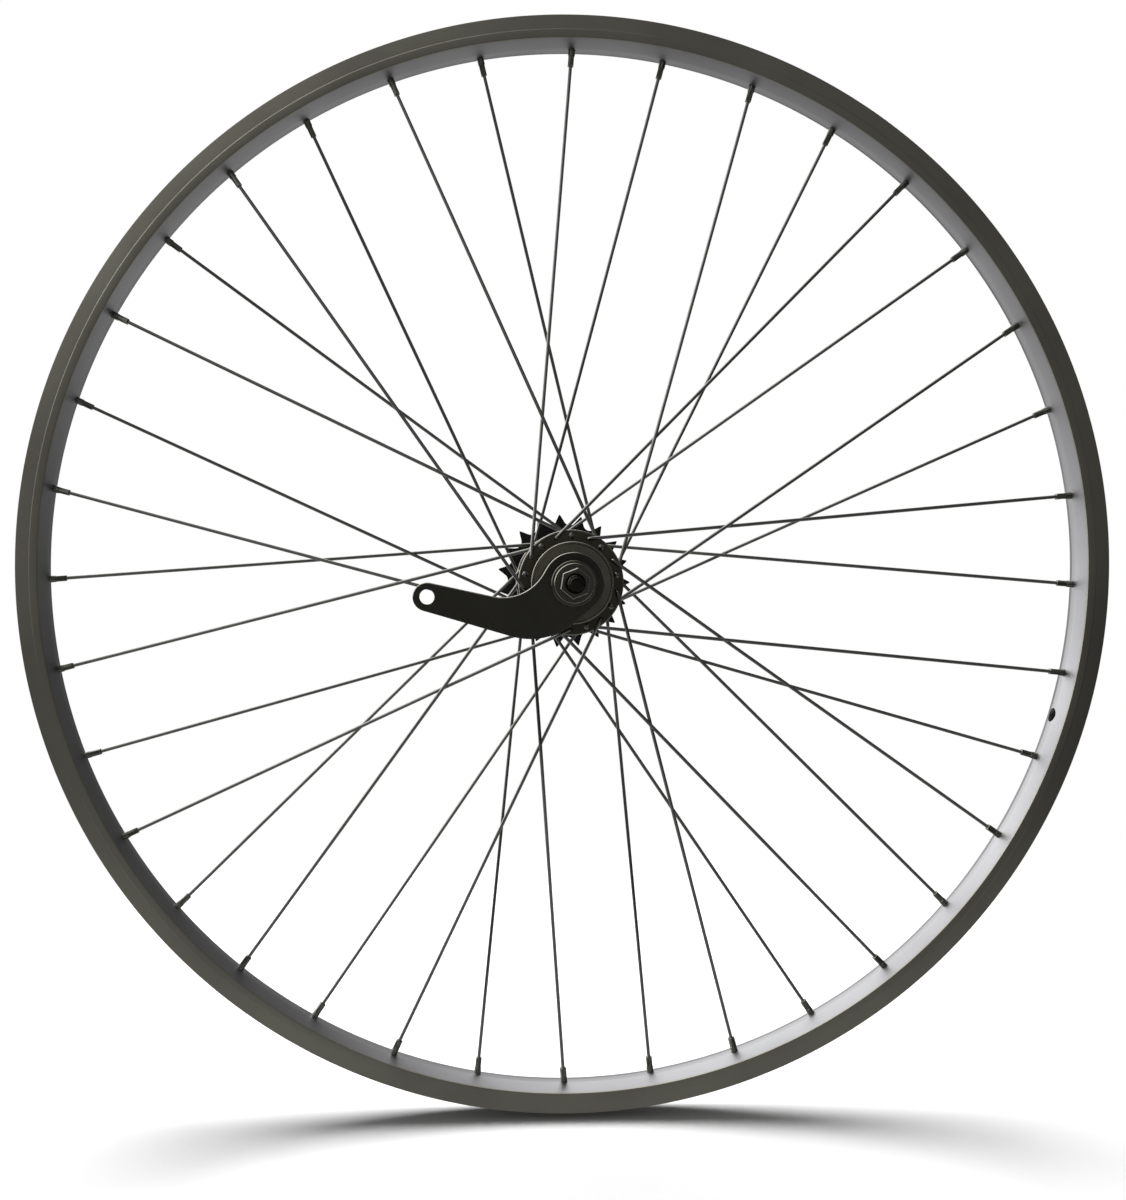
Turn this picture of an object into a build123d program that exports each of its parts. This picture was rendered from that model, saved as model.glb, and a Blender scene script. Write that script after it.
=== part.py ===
from build123d import *
import os
from math import asin, atan2, cos, degrees, hypot, radians, sin, sqrt, tan

# A rear bicycle wheel with a coaster brake hub, laced three-cross with 36 spokes.
# Millimetres. The axle runs along Y and the origin is the wheel's centre. The brake arm
# is on the left side (-Y), the sprocket on the right side (+Y), and +Z is up.
# Angles around the axle run from +X towards +Z.

os.makedirs("parts", exist_ok=True)

# Rim: a single-wall aluminium channel
bead_seat_diameter = 622.0
bead_seat_width = 2.2
bead_flange_height = 6.0
bead_hook_reach = 0.8
bead_hook_height = 1.6
rim_width = 26.0
rim_edge_round = 0.5
side_wall = 1.7
tyre_well_slope = 1.0
spoke_bed_depth = 9.5
spoke_bed_flat = 6.2
spoke_bed_rise = 3.2
spoke_bed_wall = 2.2
lower_wall_step = 1.1
lower_wall_height = 3.9
brake_track_bevel = 0.5
valve_hole_diameter = 8.5
valve_hole_step = 2.5

# Lacing
spoke_count = 36
crossings = 3
first_spoke_angle = 9.7
spoke_diameter = 2.0
spoke_elbow_radius = 2.2
spoke_weave_radius = 150.0
spoke_head_rise = 0.9
spoke_head_height = 1.3
spoke_head_seat = 0.1
spoke_hole_stagger = 1.5
lace_clearance = 0.2

# Nipples
nipple_wall = 0.95
nipple_flat_wall = 0.6
nipple_square_length = 6.0
nipple_reach = 9.4
nipple_head_rise = 1.1
nipple_head_height = 2.2
nipple_head_dome = 1.0
nipple_seat_clearance = 0.45
nipple_hole_clearance = 0.15
nipple_bore_clearance = 0.05

# Hub shell
left_flange_y = -29.2
right_flange_y = 27.2
flange_thickness = 3.2
flange_edge_round = 0.9
flange_hole_clearance = 0.3
flange_hole_rise = 5.0
flange_hole_margin = 3.6
brake_bore_diameter = 36.6
barrel_wall = 3.0
barrel_fillet_gap = 0.1
shell_end_wall = 2.0
shell_left_overhang = 9.7
shell_right_overhang = 7.7

# Axle and the pieces clamped on it
axle_diameter = 9.5
axle_protrusion = 13.4
axle_end_chamfer = 0.9
axle_lead_cut = 0.25
axle_lead_gap = 0.4
lock_nut_thickness = 4.5
arm_lock_nut_across_flats = 19.0
drive_lock_nut_across_flats = 17.0
lock_nut_chamfer = 0.6
washer_diameter = 25.0
washer_thickness = 1.6
washer_edge_chamfer = 0.3
axle_nut_across_flats = 15.0
axle_nut_height = 10.0
axle_nut_flange_diameter = 22.0
axle_nut_flange_thickness = 1.6
axle_nut_flange_chamfer = 0.35
axle_nut_bevel = 0.4
axle_nut_countersink = 0.8
axle_nut_turn = 21.0
thread_clearance = 0.05

# Brake arm, measured from the axle
arm_standoff = 8.2
arm_thickness = 3.0
arm_eye_diameter = 34.0
arm_tip_reach = 80.5
arm_tip_drop = 7.5
arm_tip_radius = 7.9
arm_tip_hole_diameter = 8.3
arm_top_slope = 12.25
arm_bottom_slope = 16.3
arm_heel_slope = 40.6
arm_neck_angle = 150.0
arm_belly_radius = 37.6
arm_neck_radius = 26.0
arm_edge_chamfer = 0.4
arm_boss_diameter = 20.0
arm_boss_flat_depth = 2.0
arm_boss_recess = 0.3
arm_boss_clearance = 0.1

# Ball bearings
ball_diameter = 6.35
race_clearance = 0.12
shell_ball_count = 12
shell_ball_gap = 2.45
shell_cup_depth = 5.5
driver_ball_count = 8
driver_ball_gap = 1.69
driver_cup_depth = 5.0
race_shoulder = 2.0
cage_thickness = 0.8
cage_width = 2.4
cage_ball_gap = 0.1
cage_race_gap = 0.2
cage_finger_depth = 1.6
cage_finger_reach = 3.0
cage_finger_clearance = 0.3

# Brake: arm cone, shoes, clutch cone and its spring
taper_angle = 14.0
taper_clearance = 0.5
shoe_inset = 7.5
shoe_length = 29.0
shoe_wall = 5.1
shoe_clearance = 0.8
shoe_taper_length = 8.5
shoe_groove_count = 2
shoe_groove_width = 1.6
shoe_groove_depth = 0.6
cone_neck_diameter = 27.0
cone_stem_diameter = 17.0
cone_stem_reach = 17.5
cone_taper_rise = 1.1
cone_taper_lead = 1.1
key_width = 7.0
key_reach = 15.0
key_recess = 1.0
key_clearance = 0.7
clutch_body_gap = 3.5
clutch_body_length = 13.0
clutch_body_clearance = 2.8
clutch_nose_wall = 1.7
drive_taper_length = 8.0
drive_taper_margin = 1.0
drive_taper_clearance = 0.4
spring_wire_diameter = 1.5
spring_inset = 2.2
spring_groove_depth = 1.3
spring_side_clearance = 0.15
spring_seat_clearance = 0.05
spring_opening = 35.0

# Driver, sprocket and covers
driver_screw_clearance = 0.3
driver_screw_inset = 3.0
driver_screw_end_gap = 2.5
driver_axle_clearance = 0.85
driver_counterbore_clearance = 0.4
driver_counterbore_depth = 4.5
driver_shoulder_rise = 1.7
driver_shoulder_thickness = 1.6
driver_seat_wall = 3.5
driver_end_length = 3.4
driver_key_count = 3
driver_key_width = 6.0
driver_key_depth = 1.6
driver_key_clearance = 0.1
driver_race_gap = 0.8
sprocket_teeth = 19
chain_pitch = 12.7
chain_roller_diameter = 7.75
roller_clearance = 0.1
sprocket_tip_rise = 2.92
sprocket_thickness = 2.8
sprocket_tooth_angle = 93.7
sprocket_tooth_round = 0.5
sprocket_fit_clearance = 0.05
sprocket_edge_chamfer = 0.6
snap_ring_thickness = 1.2
snap_ring_width = 2.3
snap_ring_groove_depth = 1.1
snap_ring_clearance = 0.05
snap_ring_opening = 28.0
cover_overhang = 0.7
cover_thickness = 1.1
cover_rim_width = 1.4
cover_rim_height = 2.6
cover_roll = 0.45
cover_gap = 0.8
cover_sleeve_length = 3.7
cover_fit_clearance = 0.05
drive_cone_nose = 2.0
drive_cone_stand = 2.5
drive_cone_cap_inset = 1.8
drive_cone_cap_gap = 0.7

# Radii of the rim, spokes and nipples
bead_seat_radius = bead_seat_diameter / 2
rim_radius = bead_seat_radius + bead_flange_height
spoke_bed_radius = bead_seat_radius - spoke_bed_depth
nipple_seat_radius = spoke_bed_radius + spoke_bed_wall
lower_wall_radius = spoke_bed_radius + spoke_bed_rise
brake_track_radius = lower_wall_radius + lower_wall_height + brake_track_bevel
lower_wall_y = rim_width / 2 - lower_wall_step
inner_wall_y = rim_width / 2 - side_wall
tyre_well_y = inner_wall_y - bead_seat_width - tyre_well_slope
spoke_bed_slope = spoke_bed_rise / (lower_wall_y - spoke_bed_flat / 2)
tyre_well_radius = nipple_seat_radius + spoke_bed_slope * (tyre_well_y - spoke_bed_flat / 2)
spoke_radius = spoke_diameter / 2
spoke_head_radius = spoke_radius + spoke_head_rise
spoke_spacing = 360 / spoke_count
spokes_per_set = spoke_count // 4
lacing_angle = 2 * crossings * spoke_spacing
valve_angle = first_spoke_angle - valve_hole_step * spoke_spacing
nipple_bore_radius = spoke_radius + nipple_bore_clearance
nipple_across_flats = 2 * (nipple_bore_radius + nipple_flat_wall)
nipple_radius = nipple_bore_radius + nipple_wall
nipple_head_radius = nipple_radius + nipple_head_rise

# Radii of the bearings and the hub shell
ball_radius = ball_diameter / 2
race_radius = ball_radius + race_clearance
shell_ball_circle = (ball_diameter + shell_ball_gap) / sin(radians(180 / shell_ball_count))
shell_cup_radius = shell_ball_circle / 2 + race_radius
shell_cone_radius = shell_ball_circle / 2 - race_radius
driver_ball_circle = (ball_diameter + driver_ball_gap) / sin(radians(180 / driver_ball_count))
driver_cup_radius = driver_ball_circle / 2 + race_radius
drive_cone_radius = driver_ball_circle / 2 - race_radius
shell_end_radius = shell_cup_radius + shell_end_wall
brake_bore_radius = brake_bore_diameter / 2
barrel_radius = brake_bore_radius + barrel_wall
flange_pitch_radius = barrel_radius + flange_hole_rise
flange_radius = flange_pitch_radius + flange_hole_margin
barrel_fillet = flange_hole_rise - spoke_head_radius - barrel_fillet_gap
cover_radius = shell_end_radius + cover_overhang

# Places along the axle, outwards from the flanges to the ends
shell_left_y = left_flange_y - flange_thickness / 2 - shell_left_overhang
left_bearing_y = shell_left_y + shell_cup_depth
left_cover_y = shell_left_y - cover_gap
arm_inner_y = left_cover_y - arm_standoff
arm_outer_y = arm_inner_y - arm_thickness
arm_middle_y = arm_inner_y - arm_thickness / 2
left_hub_end = arm_outer_y - lock_nut_thickness
shell_right_y = right_flange_y + flange_thickness / 2 + shell_right_overhang
inner_bearing_y = shell_right_y - shell_cup_depth
right_cover_y = shell_right_y + cover_gap
driver_shoulder_y = right_cover_y + cover_sleeve_length
sprocket_left_y = driver_shoulder_y + driver_shoulder_thickness
sprocket_right_y = sprocket_left_y + sprocket_thickness
snap_ring_end_y = sprocket_right_y + snap_ring_thickness
driver_right_y = snap_ring_end_y + driver_end_length
outer_bearing_y = driver_right_y - driver_cup_depth
drive_cone_end_y = driver_right_y + drive_cone_stand
right_hub_end = drive_cone_end_y + lock_nut_thickness
axle_overhang = washer_thickness + axle_nut_height + axle_protrusion
axle_lead_length = axle_protrusion - axle_lead_gap
axle_left_y = left_hub_end - axle_overhang
axle_right_y = right_hub_end + axle_overhang

# Radii on the axle and of the arm
axle_radius = axle_diameter / 2
axle_lead_radius = axle_radius - axle_lead_cut
thread_radius = axle_radius + thread_clearance
nut_flange_radius = axle_nut_flange_diameter / 2
arm_eye_radius = arm_eye_diameter / 2
arm_boss_flats = arm_boss_diameter - 2 * arm_boss_flat_depth
cone_neck_radius = cone_neck_diameter / 2

# Brake sizes, from the left bearing towards the driver
taper = tan(radians(taper_angle))
taper_gap = taper_clearance / cos(radians(taper_angle))
shoe_left_y = left_bearing_y + shoe_inset
shoe_right_y = shoe_left_y + shoe_length
shoe_radius = brake_bore_radius - shoe_clearance
shoe_bore_radius = shoe_radius - shoe_wall
cone_taper_start_y = shoe_left_y - cone_taper_lead
cone_taper_radius = shoe_bore_radius + cone_taper_rise
cone_taper_run = (cone_taper_rise + taper_gap) / taper
cone_taper_break_y = shoe_left_y + shoe_taper_length - cone_taper_run
cone_stem_end_y = shoe_left_y + cone_stem_reach
key_end_y = shoe_left_y + key_reach
key_radius = shoe_radius - key_recess
clutch_left_y = shoe_right_y - shoe_taper_length
clutch_body_left_y = shoe_right_y + clutch_body_gap
clutch_right_y = clutch_body_left_y + clutch_body_length
clutch_nose_radius = shoe_bore_radius - taper_gap
clutch_bore_radius = clutch_nose_radius - clutch_nose_wall
clutch_body_radius = brake_bore_radius - clutch_body_clearance
drive_taper_gap = drive_taper_clearance / cos(radians(taper_angle))
drive_taper_left_y = clutch_right_y - drive_taper_length - drive_taper_margin
drive_taper_left_radius = clutch_body_radius + drive_taper_gap + taper * drive_taper_margin
drive_taper_right_y = clutch_right_y + drive_taper_margin
drive_taper_run = drive_taper_right_y - drive_taper_left_y
drive_taper_right_radius = drive_taper_left_radius - taper * drive_taper_run
spring_groove_y = clutch_body_left_y + spring_inset
spring_groove_width = spring_wire_diameter + 2 * spring_side_clearance
spring_groove_radius = clutch_body_radius - spring_groove_depth
spring_radius = spring_groove_radius + spring_seat_clearance + spring_wire_diameter / 2

# Driver and sprocket sizes
driver_left_y = clutch_left_y + driver_screw_inset
driver_screw_end_y = clutch_right_y + driver_screw_end_gap
driver_screw_radius = clutch_bore_radius - driver_screw_clearance
driver_bore_radius = axle_radius + driver_axle_clearance
driver_counterbore_radius = drive_cone_radius + driver_counterbore_clearance
driver_neck_radius = shell_cone_radius + race_shoulder
driver_seat_radius = driver_cup_radius + driver_seat_wall
driver_shoulder_radius = driver_seat_radius + driver_shoulder_rise
drive_cone_cap_radius = driver_seat_radius - drive_cone_cap_inset
snap_ring_groove_radius = driver_seat_radius - snap_ring_groove_depth
sprocket_pitch_radius = chain_pitch / 2 / sin(radians(180 / sprocket_teeth))
sprocket_tip_radius = sprocket_pitch_radius + sprocket_tip_rise
roller_seat_radius = chain_roller_diameter / 2 + roller_clearance
tooth_foot_radius = sprocket_pitch_radius * cos(radians(180 / sprocket_teeth))
tooth_height = sprocket_tip_radius - tooth_foot_radius
tooth_seat_reach = hypot(chain_pitch / 2, tooth_height)
tooth_flank = sqrt(tooth_seat_reach**2 - roller_seat_radius**2)
tooth_flank_angle = atan2(chain_pitch / 2, tooth_height) - asin(roller_seat_radius / tooth_seat_reach)
tooth_root_rise = sprocket_tip_radius - tooth_flank * cos(tooth_flank_angle)
tooth_root_reach = tooth_flank * sin(tooth_flank_angle)
tooth_root_radius = hypot(tooth_root_rise, tooth_root_reach)
tooth_root_angle = degrees(atan2(tooth_root_reach, tooth_root_rise))
touching = 0.001


def wheel_point(radius, angle, y):
    """Point at a radius from the axle, at an angle around it, at a place along it."""
    return Vector(radius * cos(radians(angle)), y, radius * sin(radians(angle)))


def side_plane(y):
    """Plane square to the axle at y, seen from the left: X to the right and Z up."""
    return Plane.XZ.offset(-y)


def turned(*outline, mode=Mode.ADD):
    """Turn a closed outline of (radius, y) corners about the axle, in the part being built."""
    with BuildSketch() as section:
        with BuildLine():
            Polyline(*outline, close=True)
        make_face()
    revolve(section.sketch, axis=Axis.Y, mode=mode)


def ball_groove(ball_circle, y):
    """Cut the round groove of a ball race into the part being built."""
    with BuildSketch() as section:
        with Locations((ball_circle / 2, y)):
            Circle(race_radius)
    revolve(section.sketch, axis=Axis.Y, mode=Mode.SUBTRACT)


def hexagon(across_flats, from_y, to_y, bevel, turn=0):
    """Add a hexagonal prism on the axle, bevelled around its end at to_y, with a corner at turn."""
    with BuildSketch(side_plane((from_y + to_y) / 2)) as section:
        RegularPolygon(across_flats / 2, 6, major_radius=False, rotation=turn)
    prism = extrude(section.sketch, amount=abs(to_y - from_y) / 2, both=True)
    end_edges = prism.edges().group_by(Axis.Y)[-1 if to_y > from_y else 0]
    chamfer(end_edges, bevel)


def axle_bore(from_y, to_y):
    """Cut the axle's bore through the part being built."""
    turned((0, from_y), (thread_radius, from_y), (thread_radius, to_y), (0, to_y), mode=Mode.SUBTRACT)


def finish(part, name):
    """Label a finished piece and write its file."""
    part.label = name
    export_step(part, f"parts/{name}.step")


# Lacing geometry: the four sets of spokes, named for their flange and for how they pull


class SpokeSet:
    """Nine spokes of one flange that lean the same way and pass its holes from the same side."""

    def __init__(self, name, side, first, turn, elbow_outside):
        """Keep the set's side of the wheel, first rim hole, lean and elbow side."""
        self.name = name
        self.side = side
        self.rim_angle = first_spoke_angle + first * spoke_spacing
        self.hub_angle = self.rim_angle + turn * lacing_angle
        self.cross_angle = self.rim_angle + turn * spoke_spacing
        self.flange_y = right_flange_y if side > 0 else left_flange_y
        self.elbow_dir = side if elbow_outside else -side
        self.weave_dir = -side if elbow_outside else side

    def seat(self):
        """Centre of the nipple's seat on the tyre side of the spoke bed."""
        return wheel_point(nipple_seat_radius, self.rim_angle, self.side * spoke_hole_stagger)

    def cross(self):
        """Point where the spoke passes over or under its partner at the outermost crossing."""
        lean = radians(lacing_angle)
        swing = lean - radians(spoke_spacing)
        span = flange_pitch_radius * sin(swing) + nipple_seat_radius * sin(lean - swing)
        radius = flange_pitch_radius * nipple_seat_radius * sin(lean) / span
        hub = wheel_point(flange_pitch_radius, self.hub_angle, self.flange_y)
        flat = wheel_point(radius, self.cross_angle, self.flange_y)
        rim = wheel_point(nipple_seat_radius, self.rim_angle, self.flange_y)
        share = (flat - hub).length / (rim - hub).length
        middle = self.flange_y + share * (self.side * spoke_hole_stagger - self.flange_y)
        shift = self.weave_dir * (spoke_radius + lace_clearance / 2)
        return wheel_point(radius, self.cross_angle, middle + shift)

    def nipple_plane(self):
        """Plane on the nipple's seat that looks out along the spoke."""
        return Plane(origin=self.seat(), z_dir=self.seat() - self.cross())

    def head_plane(self):
        """Plane on the underside of the spoke's head that looks along the flange hole."""
        back = flange_thickness / 2 + spoke_head_seat
        y = self.flange_y - self.elbow_dir * back
        origin = wheel_point(flange_pitch_radius, self.hub_angle, y)
        return Plane(origin=origin, z_dir=(0, self.elbow_dir, 0))

    def corners(self):
        """Corners of the spoke's centre line: head, elbow, crossing and threaded end."""
        elbow_y = self.flange_y + self.elbow_dir * (flange_thickness / 2 + spoke_elbow_radius)
        elbow = wheel_point(flange_pitch_radius, self.hub_angle, elbow_y)
        end = self.nipple_plane().from_local_coords((0, 0, nipple_head_height / 2))
        return self.head_plane().origin, elbow, self.cross(), end


spoke_sets = [
    SpokeSet("left_trailing_spokes", -1, 0, 1, True),
    SpokeSet("right_leading_spokes", 1, 1, -1, False),
    SpokeSet("left_leading_spokes", -1, 2, -1, False),
    SpokeSet("right_trailing_spokes", 1, 3, 1, True),
]
set_turns = [Rotation(0, -360 * n / spokes_per_set, 0) for n in range(spokes_per_set)]

# Rim

with BuildPart() as rim:
    with BuildSketch() as rim_section:
        with BuildLine():
            Polyline(
                (spoke_bed_radius, 0),
                (spoke_bed_radius, spoke_bed_flat / 2),
                (lower_wall_radius, lower_wall_y),
                (brake_track_radius - brake_track_bevel, lower_wall_y),
                (brake_track_radius, rim_width / 2),
                (rim_radius, rim_width / 2),
                (rim_radius, inner_wall_y - bead_hook_reach),
                (rim_radius - bead_hook_height, inner_wall_y - bead_hook_reach),
                (rim_radius - bead_hook_height - bead_hook_reach, inner_wall_y),
                (bead_seat_radius, inner_wall_y),
                (bead_seat_radius, inner_wall_y - bead_seat_width),
                (tyre_well_radius, tyre_well_y),
                (nipple_seat_radius, spoke_bed_flat / 2),
                (nipple_seat_radius, 0),
            )
            mirror(about=Plane.XZ)
        make_face()
        fillet(rim_section.vertices().group_by(Axis.X)[-1], rim_edge_round)
    revolve(axis=Axis.Y)
    for spoke_set in spoke_sets:
        for set_turn in set_turns:
            with Locations(set_turn * spoke_set.nipple_plane().location):
                Cylinder(
                    nipple_radius + nipple_hole_clearance,
                    4 * spoke_bed_wall,
                    mode=Mode.SUBTRACT,
                )
    valve_plane = Plane(
        origin=wheel_point(nipple_seat_radius, valve_angle, 0),
        z_dir=wheel_point(1, valve_angle, 0),
    )
    with Locations(valve_plane):
        Cylinder(valve_hole_diameter / 2, 4 * spoke_bed_wall, mode=Mode.SUBTRACT)
finish(rim.part, "rim")

# Spokes: a head, a J bend at the flange, and a slight bend where two spokes weave

for spoke_set in spoke_sets:
    with BuildPart() as one_spoke:
        with BuildLine() as centre_line:
            FilletPolyline(
                *spoke_set.corners(), radius=[spoke_elbow_radius, spoke_weave_radius]
            )
        with BuildSketch(spoke_set.head_plane()):
            Circle(spoke_radius)
        sweep(path=centre_line.line)
        with BuildSketch(spoke_set.head_plane()):
            Circle(spoke_head_radius)
        extrude(amount=-spoke_head_height)
        head_rim = one_spoke.edges().filter_by(GeomType.CIRCLE).sort_by(Axis.Y)
        fillet(head_rim[0 if spoke_set.elbow_dir > 0 else -1], spoke_head_height / 2)
    with BuildPart() as spokes:
        with Locations(*set_turns):
            add(one_spoke.part)
    finish(spokes.part, spoke_set.name)

# Nipples: a domed head in the rim channel, a round shank and a square end for the key

with BuildPart() as one_nipple:
    shank_end = -spoke_bed_wall - nipple_reach
    with BuildSketch(Plane.XZ):
        with BuildLine():
            Polyline(
                (0, shank_end),
                (nipple_radius, shank_end),
                (nipple_radius, nipple_seat_clearance),
                (nipple_head_radius, nipple_seat_clearance + nipple_head_dome),
                (nipple_head_radius, nipple_head_height),
                (nipple_radius, nipple_head_height + nipple_head_dome),
                (0, nipple_head_height + nipple_head_dome),
                close=True,
            )
        make_face()
    revolve(axis=Axis.Z)
    with BuildSketch(Plane.XY.offset(shank_end)):
        Circle(2 * nipple_radius)
        Rectangle(nipple_across_flats, nipple_across_flats, mode=Mode.SUBTRACT)
    extrude(amount=nipple_square_length, mode=Mode.SUBTRACT)
    with BuildSketch(Plane.XY.offset(shank_end)):
        Circle(nipple_bore_radius)
    extrude(amount=nipple_head_height + nipple_head_dome - shank_end, mode=Mode.SUBTRACT)

with BuildPart() as nipples:
    for spoke_set in spoke_sets:
        with Locations(*[turn * spoke_set.nipple_plane().location for turn in set_turns]):
            add(one_nipple.part)
finish(nipples.part, "nipples")

# Hub shell: two drilled flanges, a brake bore, a drive taper and two ball cups

with BuildPart() as hub_shell:
    turned(
        (shell_cup_radius, shell_left_y),
        (shell_end_radius, shell_left_y),
        (shell_end_radius, left_flange_y - flange_thickness / 2),
        (flange_radius, left_flange_y - flange_thickness / 2),
        (flange_radius, left_flange_y + flange_thickness / 2),
        (barrel_radius, left_flange_y + flange_thickness / 2),
        (barrel_radius, right_flange_y - flange_thickness / 2),
        (flange_radius, right_flange_y - flange_thickness / 2),
        (flange_radius, right_flange_y + flange_thickness / 2),
        (shell_end_radius, right_flange_y + flange_thickness / 2),
        (shell_end_radius, shell_right_y),
        (shell_cup_radius, shell_right_y),
        (shell_cup_radius, inner_bearing_y),
        (shell_cone_radius + driver_race_gap, inner_bearing_y),
        (shell_cone_radius + driver_race_gap, drive_taper_right_y),
        (drive_taper_right_radius, drive_taper_right_y),
        (drive_taper_left_radius, drive_taper_left_y),
        (brake_bore_radius, drive_taper_left_y),
        (brake_bore_radius, left_bearing_y),
        (shell_cup_radius, left_bearing_y),
    )
    ball_groove(shell_ball_circle, left_bearing_y)
    ball_groove(shell_ball_circle, inner_bearing_y)
    rings = hub_shell.edges().filter_by(GeomType.CIRCLE)
    fillet(rings.filter_by(lambda ring: abs(ring.radius - barrel_radius) < touching), barrel_fillet)
    rings = hub_shell.edges().filter_by(GeomType.CIRCLE)
    fillet(rings.filter_by(lambda ring: abs(ring.radius - flange_radius) < touching), flange_edge_round)
    for spoke_set in spoke_sets:
        with Locations(*[turn * spoke_set.head_plane().location for turn in set_turns]):
            Cylinder(spoke_radius + flange_hole_clearance, 3 * flange_thickness, mode=Mode.SUBTRACT)
finish(hub_shell.part, "hub_shell")

# Axle, and the washers and flanged nuts that hold the wheel in a frame

with BuildPart() as hub_axle:
    turned(
        (0, axle_left_y),
        (axle_lead_radius, axle_left_y),
        (axle_lead_radius, axle_left_y + axle_lead_length),
        (axle_radius, axle_left_y + axle_lead_length),
        (axle_radius, axle_right_y - axle_lead_length),
        (axle_lead_radius, axle_right_y - axle_lead_length),
        (axle_lead_radius, axle_right_y),
        (0, axle_right_y),
    )
    rings = hub_axle.edges().filter_by(GeomType.CIRCLE).sort_by(Axis.Y)
    chamfer([rings[0], rings[-1]], axle_end_chamfer)
finish(hub_axle.part, "hub_axle")

for side_name, side, hub_end in (("left", -1, left_hub_end), ("right", 1, right_hub_end)):
    washer_y = hub_end + side * washer_thickness
    nut_flange_y = washer_y + side * axle_nut_flange_thickness
    nut_end_y = washer_y + side * axle_nut_height
    with BuildPart() as washer:
        turned(
            (thread_radius, hub_end),
            (washer_diameter / 2, hub_end),
            (washer_diameter / 2, washer_y),
            (thread_radius, washer_y),
        )
        rings = washer.edges().filter_by(GeomType.CIRCLE).sort_by(SortBy.RADIUS)
        chamfer(rings[-2:], washer_edge_chamfer)
    finish(washer.part, f"{side_name}_washer")

    with BuildPart() as axle_nut:
        hexagon(axle_nut_across_flats, washer_y, nut_end_y, axle_nut_bevel, axle_nut_turn)
        turned(
            (0, washer_y),
            (nut_flange_radius, washer_y),
            (nut_flange_radius, nut_flange_y - side * axle_nut_flange_chamfer),
            (nut_flange_radius - axle_nut_flange_chamfer, nut_flange_y),
            (0, nut_flange_y),
        )
        axle_bore(washer_y, nut_end_y)
        rings = axle_nut.edges().filter_by(GeomType.CIRCLE).sort_by(Axis.Y)
        chamfer(rings[-1 if side > 0 else 0], axle_nut_countersink)
    finish(axle_nut.part, f"{side_name}_axle_nut")

# Arm side: the fixed cone, its dust cap, the brake arm and the lock nut

with BuildPart() as arm_cone:
    turned(
        (thread_radius, arm_outer_y + arm_boss_recess),
        (arm_boss_diameter / 2, arm_outer_y + arm_boss_recess),
        (arm_boss_diameter / 2, arm_inner_y),
        (cone_neck_radius, arm_inner_y),
        (cone_neck_radius, left_cover_y),
        (shell_cone_radius + race_shoulder, left_cover_y),
        (shell_cone_radius + race_shoulder, left_bearing_y),
        (shell_cone_radius, left_bearing_y),
        (shell_cone_radius, cone_taper_start_y),
        (cone_taper_radius, cone_taper_start_y),
        (cone_taper_radius, cone_taper_break_y),
        (clutch_nose_radius, shoe_left_y + shoe_taper_length),
        (cone_stem_diameter / 2, shoe_left_y + shoe_taper_length),
        (cone_stem_diameter / 2, cone_stem_end_y),
        (thread_radius, cone_stem_end_y),
    )
    ball_groove(shell_ball_circle, left_bearing_y)
    for flat_side in (-1, 1):
        with Locations((0, arm_middle_y, flat_side * (arm_boss_flats + arm_boss_diameter) / 2)):
            Box(arm_boss_diameter, arm_thickness, arm_boss_diameter, mode=Mode.SUBTRACT)
    with BuildSketch(side_plane(key_end_y)):
        Circle(key_radius)
        Circle(cone_stem_diameter / 2, mode=Mode.SUBTRACT)
        Rectangle(2 * key_radius, key_width, mode=Mode.INTERSECT)
    extrude(amount=key_end_y - cone_taper_break_y)
finish(arm_cone.part, "arm_cone")

with BuildPart() as arm_dust_cap:
    turned(
        (cone_neck_radius + cover_fit_clearance, left_cover_y),
        (cover_radius, left_cover_y),
        (cover_radius, left_cover_y - cover_rim_height),
        (cover_radius - cover_rim_width, left_cover_y - cover_rim_height),
        (cover_radius - cover_rim_width, left_cover_y - cover_thickness),
        (cone_neck_radius + cover_fit_clearance, left_cover_y - cover_thickness),
    )
    fillet(arm_dust_cap.faces().sort_by(Axis.Y)[0].edges(), cover_rim_width * cover_roll)
finish(arm_dust_cap.part, "arm_dust_cap")

top_run = Vector(cos(radians(arm_top_slope)), -sin(radians(arm_top_slope)))
top_up = Vector(sin(radians(arm_top_slope)), cos(radians(arm_top_slope)))
bottom_run = Vector(cos(radians(arm_bottom_slope)), -sin(radians(arm_bottom_slope)))
bottom_down = Vector(-sin(radians(arm_bottom_slope)), -cos(radians(arm_bottom_slope)))
neck_out = Vector(cos(radians(arm_neck_angle)), sin(radians(arm_neck_angle)))
heel_out = Vector(sin(radians(arm_heel_slope)), -cos(radians(arm_heel_slope)))
arm_tip = Vector(-arm_tip_reach, -arm_tip_drop)
tip_top = arm_tip + top_up * arm_tip_radius
tip_bottom = arm_tip + bottom_down * arm_tip_radius
neck_corner = tip_top + top_run * ((arm_eye_radius - tip_top.dot(neck_out)) / top_run.dot(neck_out))
belly_run = (arm_eye_radius - tip_bottom.dot(heel_out)) / bottom_run.dot(heel_out)
belly_corner = tip_bottom + bottom_run * belly_run

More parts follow.
